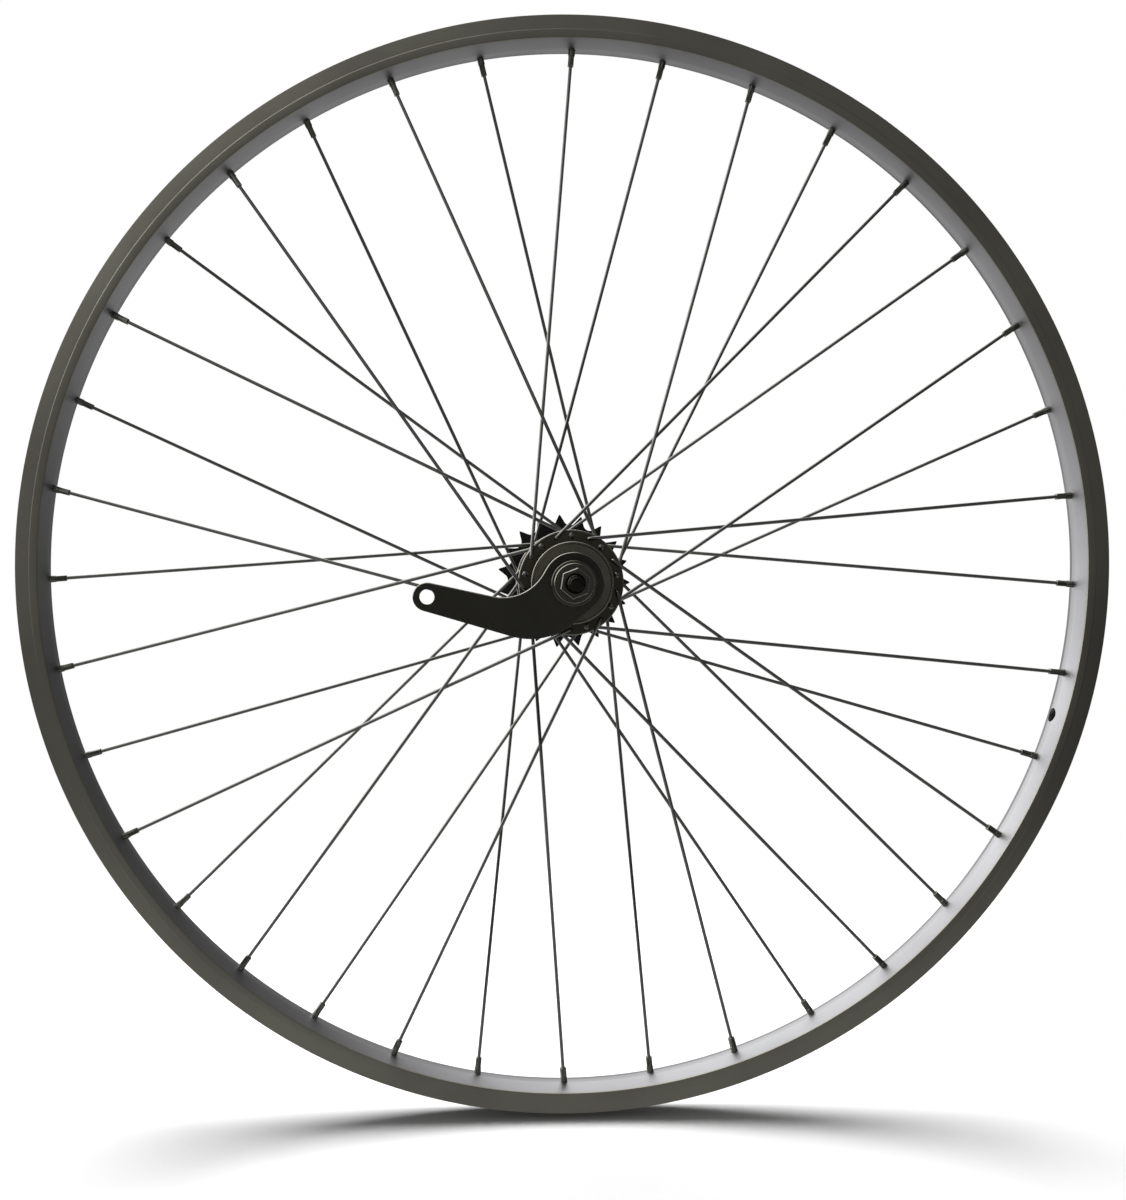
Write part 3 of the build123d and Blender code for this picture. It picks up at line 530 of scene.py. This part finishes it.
# Blackened steel: a matt black
SPROCKET_STEEL = Finish("blackened_steel", "#181818", "#131313", 0.0, 0.45, blotch=9 * MM)
# Polished bearing steel: nearly a mirror
BALL_STEEL = Finish("polished_bearing_steel", "#c8c8c8", "#bcbcbc", 1.0, 0.1, blotch=5 * MM)
# Turned bronze: warm brown metal
SHOE_BRONZE = TurnedFinish("turned_bronze", "#a07a48", "#8c6a3d", 1.0, 0.34)


@dataclass
class Rim:
    """The hooked single-wall rim, swept around the axle and pierced for the nipples and valve."""

    bead_seat_radius: float = 311 * MM
    bead_seat_width: float = 2.2 * MM
    hook_reach: float = 0.8 * MM
    hook_height: float = 1.6 * MM
    side_wall: float = 1.7 * MM
    well_slope: float = 1 * MM
    bed_flat: float = 6.2 * MM
    bed_rise: float = 3.2 * MM
    bed_wall: float = 2.2 * MM
    bed_depth: float = 9.5 * MM
    lower_wall_step: float = 0.2 * MM
    lower_wall_height: float = 4.15 * MM
    track_step: float = 0.22 * MM
    track_bevel: float = 0.45 * MM
    corner_round: float = 0.35 * MM
    ridge_round: float = 0.0875 * MM
    well_round: float = 0.7 * MM
    bed_round: float = 8 * MM
    segments: int = 540
    arc_steps: int = 4
    valve_radius: float = 4.25 * MM
    valve_angle: float = -15.3
    hole_depth: float = 12 * MM
    hole_sides: int = 32
    sharp_angle: float = 35.0
    radius: float = field(init=False)
    half_width: float = field(init=False)

    def __post_init__(self) -> None:
        """Take the rim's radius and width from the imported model."""
        _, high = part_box("rim")
        self.radius = high.z
        self.half_width = high.y

    @property
    def bed_radius(self) -> float:
        """Radius of the spoke bed's inner face."""
        return self.bead_seat_radius - self.bed_depth

    @property
    def seat_radius(self) -> float:
        """Radius of the nipples' seats."""
        return self.bed_radius + self.bed_wall

    def section(self) -> list[Vector]:
        """Draw the closed section, as distances from the bed and along the axle.

        Returns:
            The section's points.
        """
        inner_wall = self.half_width - self.side_wall
        lower_wall = self.half_width - self.lower_wall_step
        lower_radius = self.bed_radius + self.bed_rise
        track = self.half_width - self.track_step
        track_radius = lower_radius + self.lower_wall_height + self.track_bevel
        well = inner_wall - self.bead_seat_width - self.well_slope
        slope = self.bed_rise / (lower_wall - self.bed_flat / 2)
        well_radius = self.seat_radius + slope * (well - self.bed_flat / 2)
        soft = self.corner_round
        half = [
            (self.bed_radius, self.bed_flat / 2, self.bed_round),
            (lower_radius, lower_wall, soft),
            # The lower wall ends in a low ridge that steps back to the brake track
            (track_radius - self.track_bevel, self.half_width, self.ridge_round),
            (track_radius, track, self.ridge_round),
            (self.radius, track, soft),
            (self.radius, inner_wall - self.hook_reach, soft),
            (self.radius - self.hook_height, inner_wall - self.hook_reach, soft),
            (self.radius - self.hook_height - self.hook_reach, inner_wall, soft),
            (self.bead_seat_radius, inner_wall, soft),
            (self.bead_seat_radius, inner_wall - self.bead_seat_width, soft),
            (well_radius, well, self.well_round),
            (self.seat_radius, self.bed_flat / 2, soft),
        ]
        whole = half + [(r, -y, soft) for r, y, soft in reversed(half)]
        corners = [Vector((r - self.bed_radius, y, 0)) for r, y, _ in whole]
        return rounded(corners, [soft for _, _, soft in whole], self.arc_steps, closed=True)

    def build(self, lacing: "Lacing") -> None:
        """Sweep the section and pierce it.

        Args:
            lacing: The spokes, which give the places and directions of the holes.
        """
        maker = PieceTree("swept_rim")
        profile = curve_object("rim_section", self.section(), closed=True)
        path = maker.circle(
            maker.size("Segments", self.segments), maker.size("Bed radius", self.bed_radius)
        )
        hoop = maker.node(
            "GeometryNodeCurveToMesh",
            {0: path, 1: maker.shape("Section", profile), "Fill Caps": False},
        )
        upright = maker.moved(hoop.outputs[0], (0.0, 0.0, 0.0), (math.pi / 2, 0.0, 0.0))
        drill = maker.node(
            "GeometryNodeMeshCylinder",
            {
                "Vertices": self.hole_sides,
                "Radius": 1.0,
                "Depth": maker.size("Hole depth", self.hole_depth),
            },
        )
        seats = lacing.seat_points("rim_holes", lacing.nipple_radius + lacing.nipple_hole_gap)
        valve = wheel_point(self.seat_radius, self.valve_angle, 0)
        add_seat(seats, valve, valve.normalized(), self.valve_radius)
        holes = stand_on_seats(maker, seats, drill.outputs["Mesh"])
        holes = maker.node("GeometryNodeRealizeInstances", {0: holes})
        pierced = maker.cut(upright, holes.outputs[0], "MANIFOLD")
        rim = maker.make("alloy_rim", pierced, RIM_ALLOY, self.sharp_angle)
        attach(rim, "wheel")
        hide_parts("rim")


def add_seat(seats: Object, place: Vector, pull: Vector, bore: float) -> None:
    """Add one more seat to a mesh of seats.

    Args:
        seats: The mesh's object.
        place: The seat's centre.
        pull: Direction out of the seat.
        bore: How wide a copy gets there.
    """
    mesh = seats.data
    mesh.vertices.add(1)
    mesh.vertices[-1].co = place
    for name, kind in (("pull", "FLOAT_VECTOR"), ("bore", "FLOAT")):
        if name not in mesh.attributes:
            mesh.attributes.new(name, kind, "POINT")
    mesh.attributes["pull"].data[-1].vector = pull
    mesh.attributes["bore"].data[-1].value = bore


def stand_on_seats(maker: PieceTree, seats: Object, shape: Socket) -> Socket:
    """Copy a shape onto every seat, its Z axis along the seat's pull and widened by its bore.

    Args:
        maker: The tree that takes the nodes.
        seats: The mesh of seats.
        shape: The shape to copy.

    Returns:
        The copies.
    """
    pull = maker.node("GeometryNodeInputNamedAttribute", {"Name": "pull"}, data_type="FLOAT_VECTOR")
    turn = maker.node("FunctionNodeAlignRotationToVector", {"Vector": pull.outputs[0]}, axis="Z")
    bore = maker.node("GeometryNodeInputNamedAttribute", {"Name": "bore"}, data_type="FLOAT")
    widths = maker.node("ShaderNodeCombineXYZ", {0: bore.outputs[0], 1: bore.outputs[0], 2: 1.0})
    inputs: Inputs = {
        "Points": maker.shape("Seats", seats),
        "Instance": shape,
        "Rotation": turn.outputs[0],
        "Scale": widths.outputs[0],
    }
    return maker.node("GeometryNodeInstanceOnPoints", inputs).outputs[0]


@dataclass
class SpokeSet:
    """Nine spokes of one flange that lean the same way and pass its holes from the same side."""

    node: str
    side: Side
    first: int
    lean: Lean
    elbow: Elbow


@dataclass
class Lacing:
    """The 36 spokes in four sets, three-cross, and the nipples that pull them to the rim."""

    rim: Rim
    spoke_count: int = 36
    crossings: int = 3
    first_angle: float = 9.7
    wire_radius: float = 1 * MM
    wire_sides: int = 14
    wire_sharp_angle: float = 50.0
    elbow_radius: float = 2.2 * MM
    weave_radius: float = 150 * MM
    arc_steps: int = 8
    stagger: float = 1.5 * MM
    lace_gap: float = 0.2 * MM
    head_radius: float = 1.9 * MM
    head_height: float = 1.3 * MM
    head_gap: float = 0.1 * MM
    # The head's outline from its top, as shares of its height and radius
    head_steps: tuple[tuple[float, float], ...] = (
        (0.0, 0.25), (0.1, 0.6), (0.3, 0.85), (0.6, 1.0), (0.999, 1.0),
    )
    flange_thickness: float = 3.2 * MM
    flange_y: dict[Side, float] = field(
        default_factory=lambda: {Side.LEFT: -29.2 * MM, Side.RIGHT: 27.2 * MM}
    )
    hole_circle_radius: float = 26.3 * MM
    nipple_radius: float = 2 * MM
    nipple_hole_gap: float = 0.15 * MM
    nipple_half_flats: float = 1.65 * MM
    nipple_square: float = 6 * MM
    nipple_reach: float = 9.4 * MM
    nipple_seat_gap: float = 0.45 * MM
    nipple_head_radius: float = 3.1 * MM
    nipple_head_height: float = 2.2 * MM
    nipple_dome: float = 1 * MM
    nipple_shoulder: float = 0.6 * MM
    nipple_edge: float = 0.3 * MM
    nipple_sides: int = 24
    nipple_sharp_angle: float = 30.0
    slot_width: float = 1 * MM
    slot_depth: float = 0.9 * MM
    sets: tuple[SpokeSet, ...] = (
        SpokeSet("left_trailing_spokes", Side.LEFT, 0, Lean.FORWARD, Elbow.OUTSIDE),
        SpokeSet("right_leading_spokes", Side.RIGHT, 1, Lean.BACKWARD, Elbow.INSIDE),
        SpokeSet("left_leading_spokes", Side.LEFT, 2, Lean.BACKWARD, Elbow.INSIDE),
        SpokeSet("right_trailing_spokes", Side.RIGHT, 3, Lean.FORWARD, Elbow.OUTSIDE),
    )

    @property
    def spacing(self) -> float:
        """Angle between two neighbouring spokes at the rim, in degrees."""
        return 360 / self.spoke_count

    @property
    def copies(self) -> int:
        """Number of spokes in a set."""
        return self.spoke_count // len(self.sets)

    def rim_angle(self, spokes: SpokeSet) -> float:
        """Angle of a set's first nipple, in degrees."""
        return self.first_angle + spokes.first * self.spacing

    def hub_angle(self, spokes: SpokeSet) -> float:
        """Angle of a set's first flange hole, in degrees."""
        return self.rim_angle(spokes) + spokes.lean.value * 2 * self.crossings * self.spacing

    def seat(self, spokes: SpokeSet) -> Vector:
        """Centre of a set's first nipple seat."""
        y = spokes.side.value * self.stagger
        return wheel_point(self.rim.seat_radius, self.rim_angle(spokes), y)

    def crossing(self, spokes: SpokeSet) -> Vector:
        """Find where a set's first spoke passes its partner at the outermost crossing.

        Args:
            spokes: The set.

        Returns:
            The point on the spoke's centre line.
        """
        lean = math.radians(2 * self.crossings * self.spacing)
        step = math.radians(self.spacing)
        flange_y = self.flange_y[spokes.side]
        span = self.hole_circle_radius * math.sin(lean - step)
        span += self.rim.seat_radius * math.sin(step)
        radius = self.hole_circle_radius * self.rim.seat_radius * math.sin(lean) / span
        angle = self.rim_angle(spokes) + spokes.lean.value * self.spacing
        hub = wheel_point(self.hole_circle_radius, self.hub_angle(spokes), flange_y)
        rim = wheel_point(self.rim.seat_radius, self.rim_angle(spokes), flange_y)
        share = (wheel_point(radius, angle, flange_y) - hub).length / (rim - hub).length
        middle = flange_y + share * (spokes.side.value * self.stagger - flange_y)
        inward = -spokes.side.value * spokes.elbow.value
        return wheel_point(radius, angle, middle + inward * (self.wire_radius + self.lace_gap / 2))

    def pull(self, spokes: SpokeSet) -> Vector:
        """Direction in which a set's first spoke leaves the hub past its crossing."""
        return (self.seat(spokes) - self.crossing(spokes)).normalized()

    def seat_points(self, name: str, bore: float) -> Object:
        """Collect all nipple seats as points that keep their pull and a bore.

        Args:
            name: The mesh's name.
            bore: How wide a copy gets there.

        Returns:
            The points' object, which isn't linked to the scene.
        """
        seats = bpy.data.objects.new(name, bpy.data.meshes.new(name))
        for spokes in self.sets:
            for n in range(self.copies):
                turn = Matrix.Rotation(-math.tau * n / self.copies, 3, "Y")
                add_seat(seats, turn @ self.seat(spokes), turn @ self.pull(spokes), bore)
        return seats

    def wire_path(self, spokes: SpokeSet) -> tuple[list[Vector], list[float]]:
        """Lay out a set's first spoke from the top of its head to its threaded end.

        Args:
            spokes: The set.

        Returns:
            The points of its centre line, and the wire's radius at each of them.
        """
        out = spokes.side.value * spokes.elbow.value
        flange_y = self.flange_y[spokes.side]
        angle = self.hub_angle(spokes)
        face = self.flange_thickness / 2
        seat_y = flange_y - out * (face + self.head_gap)
        points = []
        radii = []
        for rise, width in self.head_steps:
            y = seat_y - out * self.head_height * (1 - rise)
            points.append(wheel_point(self.hole_circle_radius, angle, y))
            radii.append(self.head_radius * width)
        start = wheel_point(self.hole_circle_radius, angle, seat_y)
        elbow_y = flange_y + out * (face + self.elbow_radius)
        elbow = wheel_point(self.hole_circle_radius, angle, elbow_y)
        end = self.seat(spokes) + self.pull(spokes) * (self.nipple_head_height / 2)
        wire = rounded(
            [start, elbow, self.crossing(spokes), end],
            [0, self.elbow_radius, self.weave_radius, 0],
            self.arc_steps,
        )
        return points + wire, radii + [self.wire_radius] * len(wire)

    def build_spokes(self, spokes: SpokeSet) -> None:
        """Sweep a set's first spoke and turn copies of it around the axle."""
        maker = PieceTree(f"swept_{spokes.node}")
        points, radii = self.wire_path(spokes)
        path = curve_object(f"{spokes.node}_path", points, radii)
        wire = swept(maker, path, self.wire_sides)
        around = turned_copies(maker, wire, self.copies)
        piece = maker.make(f"{spokes.node}_wire", around, SPOKE_WIRE, self.wire_sharp_angle)
        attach(piece, "wheel")
        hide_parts(spokes.node)

    @property
    def nipple_top(self) -> float:
        """Height of a nipple's head over its seat."""
        return self.nipple_head_height + self.nipple_dome

    def nipple_rings(self) -> list[tuple[float, float, bool]]:
        """List the rings of one nipple from its tip to the top of its head.

        Returns:
            For each ring its height above the seat, its radius and whether it is square.
        """
        tip = -self.rim.bed_wall - self.nipple_reach
        edge = self.nipple_edge
        shoulder = self.nipple_head_height + self.nipple_shoulder
        return [
            (tip, self.nipple_radius - 2 * edge, True),
            (tip + edge, self.nipple_radius, True),
            (tip + self.nipple_square, self.nipple_radius, True),
            (tip + self.nipple_square + edge, self.nipple_radius, False),
            (self.nipple_seat_gap, self.nipple_radius, False),
            (self.nipple_seat_gap + self.nipple_dome, self.nipple_head_radius, False),
            (self.nipple_head_height, self.nipple_head_radius, False),
            (shoulder, self.nipple_head_radius - 2 * edge, False),
            (self.nipple_top, self.nipple_radius - edge, False),
        ]

    def one_nipple(self) -> Object:
        """Stack the rings of one nipple into a closed mesh.

        Returns:
            The nipple's object on the Z axis, which isn't linked to the scene.
        """
        sides = self.nipple_sides
        rings = self.nipple_rings()
        points = []
        for height, radius, square in rings:
            for n in range(sides):
                turn = math.tau * (n + 0.5) / sides
                flat = self.nipple_half_flats / max(abs(math.cos(turn)), abs(math.sin(turn)))
                reach = min(radius, flat) if square else radius
                points.append((reach * math.cos(turn), reach * math.sin(turn), height))
        faces = []
        for start in range(0, (len(rings) - 1) * sides, sides):
            for n in range(sides):
                low, low_next = start + n, start + (n + 1) % sides
                faces.append((low, low_next, low_next + sides, low + sides))
        faces.append(tuple(reversed(range(sides))))
        faces.append(tuple(range((len(rings) - 1) * sides, len(rings) * sides)))
        mesh = bpy.data.meshes.new("one_nipple")
        mesh.from_pydata(points, [], faces)
        return bpy.data.objects.new("one_nipple", mesh)

    def build_nipples(self) -> None:
        """Slot one nipple and stand copies of it on every seat."""
        maker = PieceTree("standing_nipples")
        cutter = maker.node(
            "GeometryNodeMeshCube",
            {"Size": (self.slot_width, 4 * self.nipple_head_radius, 2 * self.slot_depth)},
        )
        raised = maker.moved(cutter.outputs[0], (0.0, 0.0, self.nipple_top), (0.0, 0.0, 0.0))
        slotted = maker.cut(maker.shape("Nipple", self.one_nipple()), raised, "EXACT")
        copies = stand_on_seats(maker, self.seat_points("nipple_seats", 1.0), slotted)
        piece = maker.make("slotted_nipples", copies, NIPPLE_PLATE, self.nipple_sharp_angle)
        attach(piece, "wheel")
        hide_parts("nipples")


def turned_copies(maker: PieceTree, shape: Socket, count: int) -> Socket:
    """Copy a shape evenly around the axle, as often as the count says."""
    copies = maker.size("Copies", count)
    points = maker.node("GeometryNodePoints", {"Count": copies})
    index = maker.node("GeometryNodeInputIndex").outputs[0]
    step = maths(maker.tree, "DIVIDE", -math.tau, copies)
    angle = maths(maker.tree, "MULTIPLY", index, step)
    turn = maker.node("FunctionNodeAxisAngleToRotation", {"Axis": (0.0, 1.0, 0.0), "Angle": angle})
    around = maker.node(
        "GeometryNodeInstanceOnPoints",
        {"Points": points.outputs[0], "Instance": shape, "Rotation": turn.outputs[0]},
    )
    return around.outputs[0]


@dataclass(frozen=True)
class WornHighlightEdge:
    """Edges of a node that show bare steel, partly where the coat has rubbed off and partly a
    painted highlight.

    Attributes:
        node: The node.
        slope: Least and greatest share of a face's normal that lies along the axle.
        reach: Least distance of a face from the axle.
        upward: Least share of a face's normal that points up, where the highlight is painted.
    """

    node: str
    slope: tuple[float, float]
    reach: float = 0.0
    upward: float = -1.0


@dataclass
class Hub:
    """The coaster brake hub, whose CAD nodes stay and take their finishes here."""

    finishes: tuple[tuple[Finish, tuple[str, ...]], ...] = (
        (SHELL_STEEL, ("hub_shell",)),
        (ARM_ENAMEL, ("brake_arm",)),
        (HUB_STEEL, ("arm_cone", "arm_dust_cap", "drive_cone", "drive_cone_cap")),
        (HUB_STEEL, ("driver", "driver_dust_cover", "clutch_cone")),
        (HUB_STEEL, ("left_ball_cage", "inner_ball_cage", "outer_ball_cage")),
        (NUT_STEEL, ("arm_lock_nut", "left_washer", "left_axle_nut", "snap_ring")),
        (NUT_STEEL, ("drive_lock_nut", "right_washer", "right_axle_nut")),
        (SPROCKET_STEEL, ("sprocket",)),
        (SPOKE_WIRE, ("retarder_spring",)),
        (SHOE_BRONZE, ("upper_brake_shoe", "lower_brake_shoe")),
        (BALL_STEEL, ("left_balls", "inner_balls", "outer_balls")),
    )
    # Edges in bare steel: partly rubbed wear, partly painted highlights on edges that catch the
    # light
    worn_highlight_edges: tuple[WornHighlightEdge, ...] = (
        # Only the arm's upward-facing edges: a painted highlight where light from above falls
        WornHighlightEdge("brake_arm", (0.3, 0.95), upward=0.0),
        WornHighlightEdge("hub_shell", (0.0, 0.95), reach=29.2 * MM),
        WornHighlightEdge("arm_dust_cap", (0.2, 0.95)),
        WornHighlightEdge("left_axle_nut", (0.2, 0.95)),
        WornHighlightEdge("right_axle_nut", (0.2, 0.95)),
    )

    def dress(self) -> None:
        """Give each node of the hub its finish, and bare metal to its edges: rubbed wear and a
        painted highlight.
        """
        for finish, nodes in self.finishes:
            for node in nodes:
                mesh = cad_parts[node].data
                mesh.materials.clear()
                mesh.materials.append(finish.material())
                log.info("%s: %s", node, finish.name)
        for edge in self.worn_highlight_edges:
            self.wear_and_highlight(edge)

    def wear_and_highlight(self, edge: WornHighlightEdge) -> None:
        """Show bare steel on a node's edges, as rubbed wear and as a painted highlight."""
        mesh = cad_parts[edge.node].data
        mesh.materials.append(WORN_HIGHLIGHT_STEEL.material())
        low, high = edge.slope
        for face in mesh.polygons:
            sloped = low <= abs(face.normal.y) < high
            reach = math.hypot(face.center.x, face.center.z)
            if sloped and reach > edge.reach and face.normal.z > edge.upward:
                face.material_index = 1


@dataclass
class AxleThreads:
    """The axle with the rolled threads that show outside its nuts."""

    thread_start: float = 68.6 * MM
    pitch: float = 25.4 / 26 * MM
    crest_radius: float = 4.75 * MM
    root_radius: float = 4.2 * MM
    end_chamfer: float = 0.9 * MM
    turn_steps: int = 32
    thread_sides: int = 3
    core_sides: int = 48
    sharp_angle: float = 40.0
    half_length: float = field(init=False)

    def __post_init__(self) -> None:
        """Take the axle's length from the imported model."""
        self.half_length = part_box("hub_axle")[1].y

    def core(self) -> Object:
        """Lay out the core's line and radii, at root size under the threads and thick between."""
        end = self.half_length
        half = [
            (end, self.root_radius - self.end_chamfer),
            (end - self.end_chamfer, self.root_radius),
            (self.thread_start, self.root_radius),
            (self.thread_start - self.pitch, self.crest_radius),
        ]
        stations = [(-y, radius) for y, radius in half] + list(reversed(half))
        points = [Vector((0, y, 0)) for y, _ in stations]
        return curve_object("axle_core", points, [radius for _, radius in stations])

    def helix(self, maker: PieceTree, side: Side) -> Socket:
        """Wind the thread of one end.

        Args:
            maker: The tree that takes the nodes.
            side: The axle's end.

        Returns:
            The thread, from the nut outwards.
        """
        length = self.half_length - self.end_chamfer - self.thread_start
        depth = self.crest_radius - self.root_radius
        turns = maker.size(f"{side.name} turns", length / self.pitch)
        path = maker.node(
            "GeometryNodeCurveSpiral",
            {
                "Resolution": self.turn_steps,
                "Rotations": turns,
                "Start Radius": self.root_radius,
                "End Radius": self.root_radius,
                "Height": length,
            },
        )
        level = maker.node("GeometryNodeSetCurveNormal", {0: path.outputs[0]}, mode="Z_UP")
        ridge = maker.circle(self.thread_sides, depth)
        thread = maker.node(
            "GeometryNodeCurveToMesh", {0: level.outputs[0], 1: ridge, "Fill Caps": True}
        )
        start = (0.0, side.value * self.thread_start, 0.0)
        return maker.moved(thread.outputs[0], start, (-side.value * math.pi / 2, 0.0, 0.0))

    def build(self) -> None:
        """Sweep the core and join both threads to it."""
        maker = PieceTree("threaded_axle")
        body = swept(maker, self.core(), self.core_sides)
        whole = maker.node("GeometryNodeJoinGeometry")
        for shape in (body, self.helix(maker, Side.LEFT), self.helix(maker, Side.RIGHT)):
            maker.tree.links.new(shape, whole.inputs[0])
        piece = maker.make("threaded_axle", whole.outputs[0], AXLE_STEEL, self.sharp_angle)
        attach(piece, "axle")
        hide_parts("hub_axle")


@dataclass(frozen=True)
class Glow:
    """A soft bright patch of the studio's surround.

    Attributes:
        way: Direction of its middle.
        core: Angle from its middle within which it is at its full level, in degrees.
        edge: Angle at which it has faded away, in degrees.
        level: Light that it adds, where one is white.
    """

    way: tuple[float, float, float]
    core: float
    edge: float
    level: float


@dataclass
class Studio:
    """The white studio: a floor that keeps the shadow, a softbox overhead and a surround."""

    floor_gap: float = 4 * MM
    floor_size: float = 8.0
    floor_colour: str = "#f6f6f6"
    floor_in_front: float = 0.3
    floor_far_front: float = 0.08
    floor_behind: float = 0.66
    front_edge: float = 0.1
    back_edge: float = 0.4
    floor_on_right: float = 0.7
    floor_far_right: float = 0.2
    right_edge: float = 0.75
    fade_start: float = 0.45
    fade_end: float = 0.9
    fill: float = 0.16
    surround: float = 0.04
    glows: tuple[Glow, ...] = (
        # Broad window at the upper left, which lights the spoke bed opposite and edges that face it
        Glow((-0.64, 0.43, 0.64), 30.0, 68.0, 1.75),
        # Pale wall on the camera's side, which keeps the brake tracks from going black
        Glow((0.12, -1.0, 0.15), 20.0, 75.0, 0.075),
        # Small window over the camera's left shoulder, for highlights on wires and edges
        Glow((-0.34, -0.87, 0.36), 4.0, 22.0, 0.32),
        # Dim wall behind on the right, which shows in the left half of the spoke bed
        Glow((0.75, 0.5, 0.35), 30.0, 75.0, 0.05),
    )
    softbox_place: Vector = field(default_factory=lambda: Vector((-0.15, 0.8, 1.75)))
    softbox_size: float = 1.7
    softbox_power: float = 86.0

    def build(self, floor_height: float) -> None:
        """Make the floor at its height under the wheel, the softbox and the world."""
        self.floor(floor_height - self.floor_gap)
        self.world()
        self.softbox(Vector((0, 0, floor_height)))

    def floor(self, height: float) -> None:
        """Lay a pale floor, at a height, that turns white away from the wheel."""
        half = self.floor_size / 2
        outline = ((-half, -half), (half, -half), (half, half), (-half, half))
        mesh = bpy.data.meshes.new("studio_floor")
        mesh.from_pydata([(x, y, height) for x, y in outline], [], [(0, 1, 2, 3)])
        floor = bpy.data.objects.new("studio_floor", mesh)
        bpy.context.scene.collection.objects.link(floor)
        mesh.materials.append(self.paper())

    def paper(self) -> Material:
        """Make the floor's paper, which is dimmer in the metal than it looks.

        Returns:
            The material.
        """
        material = bpy.data.materials.new("white_paper_sweep")
        material.use_nodes = True
        tree = material.node_tree
        tree.nodes.clear()
        place = add_node(tree, "ShaderNodeTexCoord").outputs["Object"]
        reach = distance(tree, place, OVER_FLOOR)
        fade = ramp(tree, reach, (self.fade_start, self.fade_end), smooth=True)
        path = add_node(tree, "ShaderNodeLightPath")
        share = maths(tree, "MULTIPLY", path.outputs["Is Camera Ray"], fade)
        paper = add_node(tree, "ShaderNodeBsdfDiffuse", {"Color": linear(self.floor_colour)})
        white = add_node(tree, "ShaderNodeEmission", {"Color": linear(WHITE), "Strength": 1.0})
        level = self.floor_level(tree, place, fade)
        dim = add_node(tree, "ShaderNodeEmission", {"Color": linear(WHITE), "Strength": level})
        faded = layered(tree, share, paper, white)
        mix = layered(tree, path.outputs["Is Glossy Ray"], faded, dim)
        add_node(tree, "ShaderNodeOutputMaterial", {0: mix.outputs[0]})
        return material

    def floor_level(self, tree: Tree, place: Socket, fade: Socket) -> Socket:
        """Set how bright each part of the floor is in the metal.

        Args:
            tree: The floor's tree.
            place: Object coordinates.
            fade: Zero near the wheel and one away from it.

        Returns:
            The level, where one is white.
        """
        axes = add_node(tree, "ShaderNodeSeparateXYZ", {0: place})
        front = add_node(
            tree, "ShaderNodeMix", {0: fade, 2: self.floor_in_front, 3: self.floor_far_front}
        )
        edges = (self.front_edge, self.back_edge)
        levels = (front.outputs[0], self.floor_behind)
        level = ramp(tree, axes.outputs["Y"], edges, levels, smooth=True)
        dimmed = ((-self.fade_start, self.floor_on_right), (self.right_edge, self.floor_far_right))
        for start, kept in dimmed:
            edges = (start, start + self.fade_start)
            across = ramp(tree, axes.outputs["X"], edges, (1.0, kept), smooth=True)
            level = maths(tree, "MULTIPLY", level, across)
        return level

    def world(self) -> None:
        """Surround the wheel with white to the camera and with soft glows to the metal."""
        world = bpy.data.worlds.new("studio_surround")
        bpy.context.scene.world = world
        world.use_nodes = True
        tree = world.node_tree
        tree.nodes.clear()
        way = add_node(tree, "ShaderNodeTexCoord").outputs["Generated"]
        level = add_node(tree, "ShaderNodeValue").outputs[0]
        level.default_value = self.surround
        for glow in self.glows:
            middle = tuple(Vector(glow.way).normalized())
            near = add_node(
                tree, "ShaderNodeVectorMath", {0: way, 1: middle}, operation="DOT_PRODUCT"
            )
            ends = (math.cos(math.radians(glow.edge)), math.cos(math.radians(glow.core)))
            light = ramp(tree, near.outputs["Value"], ends, (0.0, glow.level), smooth=True)
            level = maths(tree, "ADD", level, light)
        path = add_node(tree, "ShaderNodeLightPath")
        shown = add_node(
            tree, "ShaderNodeMix", {0: path.outputs["Is Glossy Ray"], 2: self.fill, 3: level}
        )
        studio = add_node(
            tree, "ShaderNodeBackground", {"Color": linear(WHITE), "Strength": shown.outputs[0]}
        )
        white = add_node(tree, "ShaderNodeBackground", {"Color": linear(WHITE), "Strength": 1.0})
        mix = layered(tree, path.outputs["Is Camera Ray"], studio, white)
        add_node(tree, "ShaderNodeOutputWorld", {0: mix.outputs[0]})

    def softbox(self, target: Vector) -> None:
        """Hang a square softbox over the wheel, facing a target."""
        light = bpy.data.lights.new("overhead_softbox", "AREA")
        light.size = self.softbox_size
        light.energy = self.softbox_power
        lamp = bpy.data.objects.new("overhead_softbox", light)
        lamp.location = self.softbox_place
        lamp.rotation_euler = (target - self.softbox_place).to_track_quat("-Z", "Y").to_euler()
        lamp.visible_glossy = False
        bpy.context.scene.collection.objects.link(lamp)


@dataclass
class ViewCamera:
    """The photograph's camera, from the lines of the spokes and both edges of the rim."""

    place: Vector = field(default_factory=lambda: Vector((-47.91, -791.47, 9.47)) * MM)
    down: float = 0.0823
    right: float = 0.0323
    focal_pixels: float = 1344.56
    middle: tuple[float, float] = (529.86, 676.79)
    sensor: float = 36.0
    clip_start: float = 0.01

    def build(self) -> None:
        """Make the camera and view the scene through it."""
        width, height = IMAGE_SIZE
        longest = max(IMAGE_SIZE)
        data = bpy.data.cameras.new("view_camera")
        data.sensor_width = self.sensor
        data.lens = self.sensor * self.focal_pixels / longest
        data.shift_x = (width / 2 - self.middle[0]) / longest
        data.shift_y = (self.middle[1] - height / 2) / longest
        data.clip_start = self.clip_start
        camera = bpy.data.objects.new("view_camera", data)
        camera.location = self.place
        camera.rotation_euler = (math.pi / 2 - self.down, 0.0, -self.right)
        bpy.context.scene.collection.objects.link(camera)
        bpy.context.scene.camera = camera


def main() -> None:
    """Build the wheel's pieces, the studio and the camera."""
    logging.basicConfig(level=logging.INFO, format="%(message)s")
    bpy.context.scene.view_settings.view_transform = "Standard"
    rim = Rim()
    lacing = Lacing(rim)
    rim.build(lacing)
    for spokes in lacing.sets:
        lacing.build_spokes(spokes)
    lacing.build_nipples()
    Hub().dress()
    AxleThreads().build()
    Studio().build(-rim.radius)
    ViewCamera().build()


if __name__ == "__main__":
    main()
